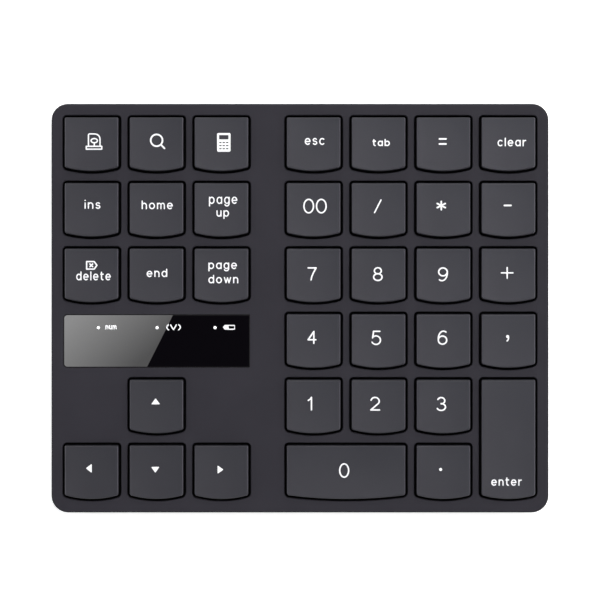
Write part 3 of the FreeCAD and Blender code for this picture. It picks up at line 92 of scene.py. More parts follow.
LETTERS = {
    "a": (0.84, [arc(0.42, 0.5, 0.42, 0.5, 45, 315), [(0.84, 1), (0.84, 0)]]),
    "b": (0.86, [[(0, 1.4), (0, 0)], arc(0.43, 0.5, 0.43, 0.5)]),
    "c": (0.8, [arc(0.44, 0.5, 0.44, 0.5, 48, 312)]),
    "d": (0.86, [arc(0.43, 0.5, 0.43, 0.5), [(0.86, 1.4), (0.86, 0)]]),
    "e": (0.86, [[(0.02, 0.5), (0.86, 0.5)], arc(0.43, 0.5, 0.43, 0.5, 0, 310)]),
    "g": (0.84, [arc(0.42, 0.5, 0.42, 0.5), [(0.84, 1), (0.84, 0)], arc(0.42, 0, 0.42, 0.42, 0, -150)]),
    "h": (0.76, [[(0, 1.4), (0, 0)], arc(0.38, 0.55, 0.38, 0.45, 180, 0) + [(0.76, 0)]]),
    "i": (0.0, [[(0, 1), (0, 0)], dot(0, 1.45)]),
    "l": (0.0, [[(0, 1.4), (0, 0)]]),
    "m": (1.24, [[(0, 1), (0, 0)], arc(0.31, 0.6, 0.31, 0.4, 180, 0) + [(0.62, 0)],
                 arc(0.93, 0.6, 0.31, 0.4, 180, 0) + [(1.24, 0)]]),
    "n": (0.76, [[(0, 1), (0, 0)], arc(0.38, 0.55, 0.38, 0.45, 180, 0) + [(0.76, 0)]]),
    "o": (0.88, [arc(0.44, 0.5, 0.44, 0.5)]),
    "p": (0.86, [[(0, 1), (0, -0.42)], arc(0.43, 0.5, 0.43, 0.5)]),
    "r": (0.46, [[(0, 1), (0, 0)], arc(0.42, 0.5, 0.42, 0.48, 180, 80)]),
    "s": (0.66, [arc(0.33, 0.76, 0.31, 0.24, 30, 270), arc(0.33, 0.26, 0.33, 0.26, 90, -150)]),
    "t": (0.5, [arc(0.46, 0.3, 0.3, 0.3, 270, 180) + [(0.16, 1.35)], [(0, 1), (0.5, 1)]]),
    "u": (0.76, [[(0, 1)] + arc(0.38, 0.45, 0.38, 0.45, 180, 360), [(0.76, 1), (0.76, 0)]]),
    "w": (1.16, [[(0, 1), (0.3, 0), (0.58, 0.95), (0.86, 0), (1.16, 1)]]),
}

# Digits and signs fill a box of 1 by 1, and are drawn out to their size.
FIGURES = {
    "0": [arc(0.5, 0.5, 0.5, 0.5)],
    "1": [[(0, 0.76), (0.55, 0.84), (1, 1), (1, 0)]],
    "2": [arc(0.5, 0.7, 0.47, 0.3, 165, -38) + [(0.02, 0), (1, 0)]],
    "3": [arc(0.48, 0.755, 0.42, 0.245, 155, -90), arc(0.48, 0.265, 0.5, 0.265, 90, -155)],
    "4": [[(0.74, 0), (0.74, 1), (0, 0.3), (1, 0.3)]],
    "5": [[(0.9, 1), (0.2, 1), (0.09, 0.5)], arc(0.47, 0.325, 0.5, 0.325, 138, -152)],
    "6": [arc(0.5, 0.31, 0.5, 0.31), arc(0.62, 0.42, 0.62, 0.58, 62, 190)],
    "7": [[(0, 1), (1, 1)], [(1, 1), (0.68, 0.62), (0.47, 0.3), (0.36, 0)]],
    "8": [arc(0.5, 0.76, 0.41, 0.24), arc(0.5, 0.265, 0.5, 0.265)],
    "9": [arc(0.5, 0.69, 0.5, 0.31), arc(0.38, 0.58, 0.62, 0.58, -118, 10)],
    "+": [[(0, 0.5), (1, 0.5)], [(0.5, 0), (0.5, 1)]],
    "-": [[(0, 0.5), (1, 0.5)]],
    "=": [[(0, 0), (1, 0)], [(0, 1), (1, 1)]],
    "/": [[(0, 0), (1, 1)]],
    "*": [[(0.5, 0.5), (0.5 + 0.5 * math.sin(a), 0.5 + 0.5 * math.cos(a))]
          for a in (math.radians(60 * i) for i in range(6))],
}
LETTER_GAP = 0.58
DIGIT_STEP = 1.32

# Strokes that span less than this one way are a straight line, and aren't drawn out that way.
STRAIGHT = 0.05
# How near two points of a stroke, or of the outlines, are one point.
TWIN_POINT_MM, WELD_MM = 1e-4, 1e-6


def moved(strokes, x, y):
    return [[(px + x, py + y) for px, py in stroke] for stroke in strokes]


def word_strokes(word):
    """The strokes of a word in a box whose lower-case height is 1."""
    strokes, x = [], 0.0
    for letter in word:
        width, parts = LETTERS[letter]
        strokes += moved(parts, x, 0)
        x += width + LETTER_GAP
    return strokes


def number_strokes(number):
    """The strokes of a row of digits."""
    strokes = []
    for i, digit in enumerate(number):
        strokes += moved(FIGURES[digit], DIGIT_STEP * i, 0)
    return strokes


def fitted(strokes, width, height, x, y, pen):
    """Strokes drawn out so that their ink fills a box of width by height about (x, y)."""
    xs = [px for part in strokes for px, _ in part]
    ys = [py for part in strokes for _, py in part]
    low_x, low_y = min(xs), min(ys)
    span_x, span_y = max(xs) - low_x, max(ys) - low_y
    grow_x = (width - pen) / span_x if span_x > STRAIGHT else 1.0
    grow_y = (height - pen) / span_y if span_y > STRAIGHT else 1.0
    mid_x, mid_y = low_x + span_x / 2, low_y + span_y / 2
    return [
        [(x + (px - mid_x) * grow_x, y + (py - mid_y) * grow_y) for px, py in part]
        for part in strokes
    ]


def smooth_runs(points):
    """A stroke cut at its sharp turns, and a closed one cut in half."""
    points = [p for i, p in enumerate(points) if i == 0 or math.dist(p, points[i - 1]) > TWIN_POINT_MM]
    closed = math.dist(points[0], points[-1]) < WELD_MM
    runs, run = [], [points[0]]
    for i in range(1, len(points)):
        run.append(points[i])
        if i == len(points) - 1:
            break
        before = Vector(points[i]) - Vector(points[i - 1])
        after = Vector(points[i + 1]) - Vector(points[i])
        sharp = before.angle(after) > SHARP_TURN
        half_way = closed and i == len(points) // 2
        if sharp or half_way:
            runs.append(run)
            run = [points[i]]
    runs.append(run)
    return runs


def band(run, pen):
    """The outline of one smooth run drawn with a round pen."""
    points = [Vector(p) for p in run]
    radius = pen / 2
    directions = []
    for i in range(len(points)):
        ahead = points[min(i + 1, len(points) - 1)] - points[max(i - 1, 0)]
        directions.append(ahead.normalized())
    sides = [Vector((-d.y, d.x)) * radius for d in directions]
    outline = [p - s for p, s in zip(points, sides)]
    outline += round_cap(points[-1], -sides[-1])
    outline += [p + s for p, s in zip(reversed(points), reversed(sides))]
    outline += round_cap(points[0], sides[0])
    return outline


def round_cap(centre, spoke):
    """The points between the two ends of a half turn, anticlockwise from centre + spoke."""
    turned = []
    for i in range(1, CAP_STEPS):
        angle = math.pi * i / CAP_STEPS
        c, s = math.cos(angle), math.sin(angle)
        turned.append(centre + Vector((spoke.x * c - spoke.y * s, spoke.x * s + spoke.y * c)))
    return turned


def pen_outlines(strokes, pen):
    return [band(run, pen) for stroke in strokes for run in smooth_runs(stroke)]


# The kind of result that delaunay_2d_cdt gives: only the triangles inside the outlines.
INSIDE_ONLY = 1


def united(solids, holes=()):
    """One flat triangle mesh of the union of the solid outlines, less the holes.

    An outline's number is its place in solids and then holes, and each triangle comes with the
    numbers of the outlines that it lies in.
    """
    points, faces = [], []
    for outline in [*solids, *holes]:
        faces.append(list(range(len(points), len(points) + len(outline))))
        points += [Vector(p) for p in outline]
    flat, _, triangles, _, _, origins = delaunay_2d_cdt(points, [], faces, INSIDE_ONLY, WELD_MM, True)
    kept = [
        tri for tri, origin in zip(triangles, origins)
        if origin and not any(number >= len(solids) for number in origin)
    ]
    return flat, kept


def surface_of(node):
    """A CAD node's surface, for rays to be cast at."""
    mesh = NODES[node].data
    return BVHTree.FromPolygons([v.co for v in mesh.vertices], [p.vertices for p in mesh.polygons])


# How far printed ink stands above the surface that it follows, and reaches into it.
INK_PROUD, INK_SUNK = 0.02 * MM, 0.03 * MM


def ink_piece(name, outlines, holes, origin, node, material):
    """A thin printed mark that lies on the top of a CAD node."""
    flat, triangles = united(outlines, holes)
    surface = surface_of(node)
    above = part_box(node)[1].z + 1 * MM
    bm = bmesh.new()
    tops, bottoms = [], []
    for point in flat:
        x, y = origin.x + point.x * MM, origin.y + point.y * MM
        hit, _, _, _ = surface.ray_cast(Vector((x, y, above)), Vector((0, 0, -1)))
        tops.append(bm.verts.new((x, y, hit.z + INK_PROUD)))
        bottoms.append(bm.verts.new((x, y, hit.z - INK_SUNK)))
    for a, b, c in triangles:
        bm.faces.new((tops[a], tops[b], tops[c]))
        bm.faces.new((bottoms[c], bottoms[b], bottoms[a]))
    edges = [edge for a, b, c in triangles for edge in ((a, b), (b, c), (c, a))]
    known = set(edges)
    for a, b in edges:
        if (b, a) not in known:
            bm.faces.new((tops[b], tops[a], bottoms[a], bottoms[b]))
    bmesh.ops.delete(bm, geom=[v for v in bm.verts if not v.link_faces], context="VERTS")
    bmesh.ops.recalc_face_normals(bm, faces=bm.faces)
    return finish_piece(name, bm, material)


def finish_piece(name, bm, material):
    """An object in the scene from a mesh that is built."""
    mesh = bpy.data.meshes.new(name)
    bm.to_mesh(mesh)
    bm.free()
    mesh.materials.append(material)
    piece = bpy.data.objects.new(name, mesh)
    bpy.context.scene.collection.objects.link(piece)
    return piece


# ----------------------------------------------------------------------------------------------
# Materials. Object coordinates are the frame's own metres.


# Where the Mix node holds its two colours and its mixed colour.
MIX_COLOURS = slice(6, 8)
MIX_RESULT = 2


class Finish:
    """A node material round one Principled shader."""

    def __init__(self, name, **sockets):
        self.material = bpy.data.materials.new(name)
        self.material.use_nodes = True
        self.tree = self.material.node_tree
        self.tree.nodes.clear()
        self.shader = self.add("ShaderNodeBsdfPrincipled")
        output = self.add("ShaderNodeOutputMaterial")
        self.tree.links.new(self.shader.outputs["BSDF"], output.inputs["Surface"])
        for socket, value in sockets.items():
            self.shader.inputs[socket.replace("_", " ")].default_value = value
        self.coordinates = self.add("ShaderNodeTexCoord")

    def add(self, kind, **settings):
        node = self.tree.nodes.new(kind)
        for setting, value in settings.items():
            setattr(node, setting, value)
        return node

    def wire(self, source, target):
        self.tree.links.new(source, target)

    def place(self, stretch=(1, 1, 1), turn=(0, 0, 0)):
        """Object coordinates, stretched and turned."""
        mapping = self.add("ShaderNodeMapping")
        mapping.inputs["Scale"].default_value = stretch
        mapping.inputs["Rotation"].default_value = turn
        self.wire(self.coordinates.outputs["Object"], mapping.inputs["Vector"])
        return mapping.outputs["Vector"]

    def along(self, axis):
        """The object coordinate along X, Y or Z."""
        split = self.add("ShaderNodeSeparateXYZ")
        self.wire(self.coordinates.outputs["Object"], split.inputs["Vector"])
        return split.outputs[axis]

    def noise(self, feature_mm, detail=3.0, rough=0.5, stretch=(1, 1, 1), turn=(0, 0, 0)):
        """Noise of 0 to 1, mostly between 0.3 and 0.7."""
        node = self.add("ShaderNodeTexNoise")
        node.inputs["Scale"].default_value = 1 / (feature_mm * MM)
        node.inputs["Detail"].default_value = detail
        node.inputs["Roughness"].default_value = rough
        self.wire(self.place(stretch, turn), node.inputs["Vector"])
        return node.outputs["Fac"]

    def diagonal(self, coordinates):
        """The sum of X and Y."""
        node = self.add("ShaderNodeVectorMath", operation="DOT_PRODUCT")
        node.inputs[1].default_value = (1, 1, 0)
        self.wire(self.coordinates.outputs[coordinates], node.inputs[0])
        return node.outputs["Value"]

    def scaled(self, fac, low, high, first=0.3, last=0.7):
        """fac mapped from first..last to low..high, and held there."""
        node = self.add("ShaderNodeMapRange")
        ends = {"From Min": first, "From Max": last, "To Min": low, "To Max": high}
        for socket, value in ends.items():
            node.inputs[socket].default_value = value
        self.wire(fac, node.inputs["Value"])
        return node.outputs["Result"]

    def mixed(self, fac, a, b):
        """A colour from a to b. Each is a colour or a socket."""
        node = self.add("ShaderNodeMix", data_type="RGBA")
        self.wire(fac, node.inputs["Factor"])
        for socket, value in zip(node.inputs[MIX_COLOURS], (a, b)):
            if isinstance(value, bpy.types.NodeSocket):
                self.wire(value, socket)
            else:
                socket.default_value = (*value, 1)
        return node.outputs[MIX_RESULT]

    def paint(self, colour):
        self.wire(colour, self.shader.inputs["Base Color"])

    def roughen(self, fac):
        self.wire(fac, self.shader.inputs["Roughness"])

    def emboss(self, height, depth_mm, strength=1.0):
        bump = self.add("ShaderNodeBump")
        bump.inputs["Distance"].default_value = depth_mm * MM
        bump.inputs["Strength"].default_value = strength
        self.wire(height, bump.inputs["Height"])
        self.wire(bump.outputs["Normal"], self.shader.inputs["Normal"])


def tinted(colour, factor):
    return tuple(c * factor for c in colour)


# Tints of the painted shade: darker and bluer to each piece's rear right, darker to the front left of
# the set, and darker on the sides.
PIECE_SHADE_TINT = (0.46, 0.53, 0.57)
SET_SHADE_TINT, SIDE_SHADE_TINT = 0.5, 0.4


def moulded(
    name, colour, spread=0.06, rough=0.5, grain_mm=0.12, depth_mm=0.006,
    painted_piece_shade=0, painted_set_shade=0, painted_edge_highlight=0, top=None, **sockets
):
    """Moulded plastic: cloudy colour and spark-eroded grain, with optional painted shade and painted
    highlight.

    fade is painted shade, darker to each piece's rear right, and drift is painted shade, darker to
    the whole set's front left, both from 0 to 1.
    burnish is a painted highlight: it brightens the rounded edges that face left and right.
    top is the height, in metres, below which the sides are painted darker, as painted shade.
    """
    finish = Finish(name, **sockets)
    clouds = finish.scaled(finish.noise(14, detail=4), 0, 1)
    body = finish.mixed(clouds, tinted(colour, 1 - spread), tinted(colour, 1 + spread))
    specks = finish.scaled(finish.noise(0.35, detail=1), 0, 1, 0.62, 0.75)
    body = finish.mixed(specks, body, tinted(colour, 1 + 2.5 * spread))
    # Painted shade: each piece is darker and bluer to its rear right.
    if painted_piece_shade:
        far = finish.scaled(finish.diagonal("Generated"), 0, painted_piece_shade, 0.2, 1.8)
        body = finish.mixed(far, body, tuple(c * k for c, k in zip(colour, PIECE_SHADE_TINT)))
    # Painted shade: the whole set is darker to the front left.
    if painted_set_shade:
        near = finish.scaled(finish.diagonal("Object"), painted_set_shade, 0, -0.11, 0.11)
        body = finish.mixed(near, body, tinted(colour, SET_SHADE_TINT))
    # Painted highlight: surfaces that face left or right are brightened.
    if painted_edge_highlight:
        facing = finish.add("ShaderNodeSeparateXYZ")
        finish.wire(finish.add("ShaderNodeNewGeometry").outputs["Normal"], facing.inputs["Vector"])
        sideways = finish.add("ShaderNodeMath", operation="ABSOLUTE")
        finish.wire(facing.outputs["X"], sideways.inputs[0])
        edge = finish.scaled(sideways.outputs["Value"], 0, 1, 0.12, 0.45)
        body = finish.mixed(edge, body, tinted(colour, 1 + painted_edge_highlight))
    # Painted shade: everything below top is darker.
    if top is not None:
        below = finish.scaled(finish.along("Z"), 1, 0, top - 0.3 * MM, top - 0.02 * MM)
        body = finish.mixed(below, body, tinted(colour, SIDE_SHADE_TINT))
    finish.paint(body)
    finish.roughen(finish.scaled(finish.noise(5, detail=5), rough - 0.05, rough + 0.05))
    finish.emboss(finish.noise(grain_mm, detail=2), depth_mm)
    return finish.material


def polished(name, colour, rough=0.03, **sockets):
    """Polished plastic: faint wipe marks and settled dust in an almost mirror surface."""
    finish = Finish(name, IOR=1.5, **sockets)
    dust = finish.scaled(finish.noise(0.5, detail=2), 0, 1, 0.72, 0.8)
    finish.paint(finish.mixed(dust, colour, tinted(colour, 2.5)))
    wipes = finish.noise(3, detail=4, stretch=(0.25, 1, 1), turn=(0, 0, 0.5))
    finish.roughen(finish.scaled(wipes, rough * 0.7, rough * 1.6))
    finish.emboss(finish.noise(20, detail=1), 0.002)
    return finish.material


def sheet_metal(name, colour, rough=0.3, stretch=(1, 0.04, 1), feature_mm=0.25, depth_mm=0.004):
    """Rolled or drawn metal: cloudy plating over a grain that runs where stretch is smallest."""
    finish = Finish(name, Metallic=1.0)
    clouds = finish.scaled(finish.noise(6, detail=4), 0, 1)
    finish.paint(finish.mixed(clouds, tinted(colour, 0.86), tinted(colour, 1.08)))
    grain = finish.noise(feature_mm, detail=3, stretch=stretch)
    finish.roughen(finish.scaled(grain, rough - 0.08, rough + 0.1))
    finish.emboss(grain, depth_mm)
    return finish.material


def circuit_board(name):
    """Green solder mask over tracks, with pale exposed pads."""
    finish = Finish(name, IOR=1.5, Coat_Weight=0.5, Coat_Roughness=0.1)
    tracks = finish.add("ShaderNodeTexBrick", offset=0.5)
    tracks.inputs["Scale"].default_value = 1 / (2.2 * MM)
    tracks.inputs["Mortar Size"].default_value = 0.06
    tracks.inputs["Color1"].default_value = (0.004, 0.05, 0.022, 1)
    tracks.inputs["Color2"].default_value = (0.006, 0.06, 0.027, 1)
    tracks.inputs["Mortar"].default_value = (0.012, 0.11, 0.05, 1)
    finish.wire(finish.place(), tracks.inputs["Vector"])
    pads = finish.add("ShaderNodeTexVoronoi", feature="DISTANCE_TO_EDGE")
    pads.inputs["Scale"].default_value = 1 / (4 * MM)
    finish.wire(finish.place(), pads.inputs["Vector"])
    bare = finish.scaled(pads.outputs["Distance"], 0, 1, 0.42, 0.44)
    finish.paint(finish.mixed(bare, tracks.outputs["Color"], (0.6, 0.56, 0.42)))
    finish.roughen(finish.scaled(finish.noise(0.8), 0.28, 0.42))
    finish.emboss(tracks.outputs["Fac"], 0.03, 0.6)
    return finish.material


def pouch_foil(name, colour):
    """Laminated foil: matt silver, dented where it is pressed against the cell."""
    finish = Finish(name, Metallic=0.9)
    clouds = finish.scaled(finish.noise(9, detail=5), 0, 1)
    finish.paint(finish.mixed(clouds, tinted(colour, 0.9), tinted(colour, 1.08)))
    dents = finish.noise(3.5, detail=4, rough=0.6)
    finish.roughen(finish.scaled(dents, 0.3, 0.42))
    finish.emboss(dents, 0.15, 0.7)
    return finish.material


def soft_rubber(name, colour, rough=0.75, **sockets):
    """Silicone or rubber: dull, with a powdery bloom."""
    finish = Finish(name, **sockets)
    bloom = finish.scaled(finish.noise(1.6, detail=5, rough=0.6), 0, 1, 0.4, 0.75)
    finish.paint(finish.mixed(bloom, colour, tinted(colour, 1.35)))
    finish.roughen(finish.scaled(finish.noise(0.6), rough - 0.07, rough + 0.07))
    finish.emboss(finish.noise(0.2, detail=3), 0.01)
    return finish.material


def printed_ink(name, colour, glow=0.0):
    """Pad-printed ink: an even white with pinholes and a slightly lumpy film."""
    finish = Finish(name, Emission_Color=(*colour, 1), Emission_Strength=glow)
    pinholes = finish.scaled(finish.noise(0.12, detail=1), 0, 1, 0.7, 0.78)
    finish.paint(finish.mixed(pinholes, colour, tinted(colour, 0.8)))
    finish.roughen(finish.scaled(finish.noise(0.4), 0.4, 0.5))
    finish.emboss(finish.noise(0.15, detail=2), 0.002)
    return finish.material


TONGUE_HALF_WIDTH_MM, TONGUE_HALF_THICK_MM = 3.38, 0.37
CONTACT_STEP_MM, CONTACT_HALF_WIDTH_MM, CONTACTS_HALF_WIDTH_MM = 0.5, 0.13, 2.9


def port_finish(name):
    """A plated steel shell round a black tongue with a row of gold contacts on each face."""
    finish = Finish(name)
    inward = finish.add("ShaderNodeVectorMath", operation="SUBTRACT")
    inward.inputs[1].default_value = middle("charging_port")
    finish.wire(finish.coordinates.outputs["Object"], inward.inputs[0])
    split = finish.add("ShaderNodeSeparateXYZ")
    finish.wire(inward.outputs["Vector"], split.inputs["Vector"])

    def within(axis, half_mm):
        size = finish.add("ShaderNodeMath", operation="ABSOLUTE")
        finish.wire(split.outputs[axis], size.inputs[0])
        return finish.scaled(size.outputs["Value"], 1, 0, (half_mm - 0.01) * MM, half_mm * MM)

    def both(first, second):
        product = finish.add("ShaderNodeMath", operation="MULTIPLY")
        finish.wire(first, product.inputs[0])
        finish.wire(second, product.inputs[1])
        return product.outputs["Value"]

    tongue = both(within("X", TONGUE_HALF_WIDTH_MM), within("Z", TONGUE_HALF_THICK_MM))
    comb = finish.add("ShaderNodeMath", operation="PINGPONG")
    comb.inputs[1].default_value = CONTACT_STEP_MM / 2 * MM
    finish.wire(split.outputs["X"], comb.inputs[0])
    teeth_low, teeth_high = CONTACT_HALF_WIDTH_MM * MM, (CONTACT_HALF_WIDTH_MM + 0.01) * MM
    teeth = finish.scaled(comb.outputs["Value"], 1, 0, teeth_low, teeth_high)
    on_faces = finish.scaled(within("Z", TONGUE_HALF_THICK_MM - 0.03), 1, 0, 0, 1)
    contacts = both(both(teeth, within("X", CONTACTS_HALF_WIDTH_MM)), on_faces)
    plating = finish.noise(0.25, stretch=(0.05, 1, 1))
    shell = finish.mixed(finish.scaled(plating, 0, 1), (0.43, 0.43, 0.43), (0.54, 0.54, 0.54))
    bare = finish.mixed(contacts, (0.012, 0.012, 0.013), (0.75, 0.5, 0.16))
    finish.paint(finish.mixed(tongue, shell, bare))
    metal = finish.scaled(tongue, 1, 0, 0, 1)
    finish.wire(metal, finish.shader.inputs["Metallic"])
    finish.roughen(finish.scaled(plating, 0.18, 0.35))
    finish.emboss(plating, 0.004)
    return finish.material


def leads_finish(name):
    """Insulated leads: the rear one red and the front one black."""
    finish = Finish(name)
    lead_y = middle("battery_leads").y
    side = finish.scaled(finish.along("Y"), 0, 1, lead_y - 0.1 * MM, lead_y + 0.1 * MM)
    tone = finish.mixed(side, (0.015, 0.015, 0.016), (0.42, 0.02, 0.018))
    sheen = finish.scaled(finish.noise(0.7), 0, 1)
    finish.paint(finish.mixed(finish.scaled(sheen, 0, 0.12, 0, 1), tone, (0.5, 0.4, 0.4)))
    finish.roughen(finish.scaled(finish.noise(0.4), 0.38, 0.5))
    finish.emboss(finish.noise(0.3), 0.01)
    return finish.material


# Heights of the deck round the keys and of the keycaps' rims, in metres.
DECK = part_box("top_frame")[1].z
KEY_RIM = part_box("keycap_5")[1].z
KEY_TONE = (0.0418, 0.0406, 0.0496)
CASE_TONE = (0.0241, 0.0226, 0.0292)
INK_TONE = (0.86, 0.86, 0.88)

ink = printed_ink("legend_ink", INK_TONE)
lamp_ink = printed_ink("lamp_mark", INK_TONE, glow=0.6)

FINISHES = {
    # The keys' plastic has painted shade on each piece, across the set and on its sides, and a painted
    # highlight on its left and right edges.
    "key_plastic": moulded(
        "key_plastic", KEY_TONE, rough=0.42, painted_piece_shade=0.45, painted_set_shade=0.5, painted_edge_highlight=0.4, top=KEY_RIM - 0.22 * MM,
        Specular_IOR_Level=0.35,
    ),
    # The case's plastic is painted darker below the deck, as painted shade.
    "case_plastic": moulded("case_plastic", CASE_TONE, top=DECK, Specular_IOR_Level=0.15),
    "window": polished("window_acrylic", (0.0016, 0.0012, 0.0022), rough=0.003),
    "clear_plastic": polished(
        "clear_polycarbonate", (0.8, 0.82, 0.83), rough=0.1, Transmission_Weight=0.9,
    ),
    "plate_steel": sheet_metal("zinc_plated_sheet", (0.46, 0.46, 0.47)),
    "film": polished("black_printed_film", (0.001, 0.001, 0.0012), rough=0.5, Specular_IOR_Level=0.1),
    "silicone": soft_rubber("silicone", (0.5, 0.51, 0.51), rough=0.55, Subsurface_Weight=0.3),
    "frame_plastic": moulded("natural_acetal", (0.6, 0.6, 0.57), spread=0.03, rough=0.4),
    "wire_steel": sheet_metal("spring_wire", (0.62, 0.62, 0.63), rough=0.18),
    "circuit_board": circuit_board("solder_mask"),
    "chip_black": moulded("moulded_epoxy", (0.02, 0.02, 0.021), spread=0.1, rough=0.6, grain_mm=0.08),
    "led_white": polished("diffused_resin", (0.8, 0.8, 0.74), rough=0.2),
    "socket_white": moulded("socket_nylon", (0.7, 0.68, 0.62), spread=0.03, rough=0.45),
    "pouch": pouch_foil("laminated_foil", (0.5, 0.51, 0.53)),
    "lead_red": leads_finish("lead_insulation"),
    "ribbon": polished("polyimide_ribbon", (0.45, 0.2, 0.03), rough=0.25),
    "port_steel": port_finish("nickel_plated_shell"),
    "switch_black": moulded("switch_nylon", (0.022, 0.022, 0.023), spread=0.1, rough=0.5),
    "screw_steel": sheet_metal("black_zinc", (0.2, 0.2, 0.21), rough=0.32, stretch=(1, 1, 1)),
    "foot_rubber": soft_rubber("foot_rubber", (0.02, 0.02, 0.021)),
}

for subpart in RECORD["subparts"]:
    mesh = NODES[subpart["node"]].data
    mesh.materials.clear()
    mesh.materials.append(FINISHES[subpart["material_slot"]])

# ----------------------------------------------------------------------------------------------
# The keys' works: each dome, frame and wire is a piece of its own, one for each key.
# Each CAD node is given with its pieces' name and their material.
WORKS = {
    "rubber_domes": ("dome", "silicone"),
    "scissor_outer_frames": ("outer_frame", "frame_plastic"),
    "scissor_inner_frames": ("inner_frame", "frame_plastic"),
    "stabiliser_wires": ("stabiliser", "wire_steel"),
}
SAME_POINT_MM = 0.0005
CREASE = math.radians(35)


def linked_faces(bm):
    """The faces of each loose part."""
    seen = set()
    for first in bm.faces:
        if first in seen:
            continue
        seen.add(first)
        part, edge_of_search = [], [first]
        while edge_of_search:
            face = edge_of_search.pop()
            part.append(face)
            for edge in face.edges:
                for other in edge.link_faces:
                    if other not in seen:
                        seen.add(other)
                        edge_of_search.append(other)
        yield part


def nearest_key(point):
    return min(KEY_CENTRES, key=lambda name: (KEY_CENTRES[name].xy - point.xy).length)


def split_by_key(node):
    """The node's mesh as one clean mesh for each key that it serves."""
    whole = bmesh.new()
    whole.from_mesh(NODES[node].data)
    bmesh.ops.remove_doubles(whole, verts=whole.verts, dist=SAME_POINT_MM * MM)
    shares = {}
    for part in linked_faces(whole):
        corners = [v.co for face in part for v in face.verts]
        by_axis = list(zip(*corners))
        mid = Vector([(min(values) + max(values)) / 2 for values in by_axis])
        shares.setdefault(nearest_key(mid), []).append(part)
    for key, parts in sorted(shares.items()):
        share = bmesh.new()
        made = {}
        for face in (face for part in parts for face in part):
            for vert in face.verts:
                if vert not in made:
                    made[vert] = share.verts.new(vert.co)
            share.faces.new([made[vert] for vert in face.verts])
        yield key, share
    whole.free()


for node, (label, slot_name) in WORKS.items():
    for key, share in split_by_key(node):
        piece = finish_piece(label + "_" + key, share, FINISHES[slot_name])
        piece.data.shade_smooth()
        piece.data.set_sharp_from_angle(angle=CREASE)
        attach(piece, "case")
        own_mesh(piece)
        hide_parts(node)

# ----------------------------------------------------------------------------------------------
# The legends. Each mark is (what, width, height, x, y): its ink box and where its middle is from the
# middle of the key.
WORD_PEN, DIGIT_PEN, ICON_PEN = 0.35, 0.42, 0.38
SEARCH_PEN, DELETE_PEN, COMMA_PEN = 0.48, 0.4, 0.38
SIGN_PENS = {"=": 0.5, "-": 0.5, "*": 0.48, "/": 0.38, "+": 0.38}

LEGENDS = {
    "insert": [("ins", 4.65, 2.66, 0.27, 1.6)],
    "home": [("home", 9.14, 2.56, 0.22, 1.44)],
    "page_up": [("page", 8.32, 2.88, 0.51, 2.4), ("up", 3.69, 2.56, 0.39, -1.4)],
    "delete": [("delete", 10.13, 2.65, 0.57, -0.14)],
    "end": [("end", 6.03, 2.47, 0.14, 0.74)],
    "page_down": [("page", 8.35, 2.6, 0.36, 2.47), ("down", 8.76, 2.5, 0.57, -1.08)],
    "escape": [("esc", 5.74, 2.03, 0.26, 0.8)],
    "tab": [("tab", 5.1, 2.12, 0.75, 0.49)],
    "clear": [("clear", 8.41, 2.56, 1.01, 0.64)],
    "enter": [("enter", 9.0, 2.43, -0.54, -12.35)],
    "equals": [("=", 2.38, 1.98, -0.24, 0.8)],
    "double_zero": [("00", 6.91, 4.33, 0.39, 1.08)],
    "divide": [("/", 2.26, 4.07, -0.25, 1.01)],
    "multiply": [("*", 2.81, 2.88, -0.66, 1.23)],
    "minus": [("-", 2.43, 0.78, -0.24, 1.26)],
    "plus": [("+", 3.78, 3.52, -0.38, 0.74)],
    "7": [("7", 2.73, 3.93, -0.45, 0.44)],
    "8": [("8", 2.87, 4.13, -0.22, 0.38)],
    "9": [("9", 2.93, 4.13, -0.16, 0.32)],
    "4": [("4", 2.67, 3.87, -0.49, 1.06)],
    "5": [("5", 2.87, 4.25, -0.69, 0.92)],
    "6": [("6", 2.88, 4.21, -0.3, 0.99)],
    "1": [("1", 1.36, 4.06, -1.12, 0.88)],
    "2": [("2", 2.95, 4.1, -1.01, 0.86)],
    "3": [("3", 2.81, 4.16, -0.63, 0.77)],
    "0": [("0", 3.02, 4.28, -0.57, 0.51)],
}


def mark_outlines(mark):
    """The outlines of a word, a number or a sign."""
    text, width, height, x, y = mark
    if text.isalpha():
        strokes, pen = word_strokes(text), WORD_PEN
    elif text.isdigit():
        strokes, pen = number_strokes(text), DIGIT_PEN
    else:
        strokes, pen = FIGURES[text], SIGN_PENS[text]
    return pen_outlines(fitted(strokes, width, height, x, y, pen), pen)


def rounded_box(x, y, width, height, radius):
    """An outline with round corners about (x, y)."""
    points = []
    for turn, (sx, sy) in enumerate(((1, 1), (-1, 1), (-1, -1), (1, -1))):
        cx, cy = x + sx * (width / 2 - radius), y + sy * (height / 2 - radius)
        points += arc(cx, cy, radius, radius, 90 * turn, 90 * turn + 90)
    return points


def disc(x, y, radius):
    return arc(x, y, radius, radius)[:-1]


def anticlockwise(corners):
    (ax, ay), (bx, by), (cx, cy) = corners
    return (bx - ax) * (cy - ay) > (by - ay) * (cx - ax)


ARROW_PEN = 0.3
ARROW_ENDS = {
    "up": ((-1, -1), (1, -1), (0, 1)), "down": ((-1, 1), (1, 1), (0, -1)),
    "left": ((1, 1), (1, -1), (-1, 0)), "right": ((-1, 1), (-1, -1), (1, 0)),
}


def triangle(x, y, width, height, facing):
    """A solid arrowhead with slightly rounded corners."""
    ends = ARROW_ENDS[facing]
    half_w, half_h = (width - ARROW_PEN) / 2, (height - ARROW_PEN) / 2
    corners = [(x + ex * half_w, y + ey * half_h) for ex, ey in ends]
    turned = corners if anticlockwise(corners) else corners[::-1]
    return [turned] + pen_outlines([corners + corners[:1]], ARROW_PEN)


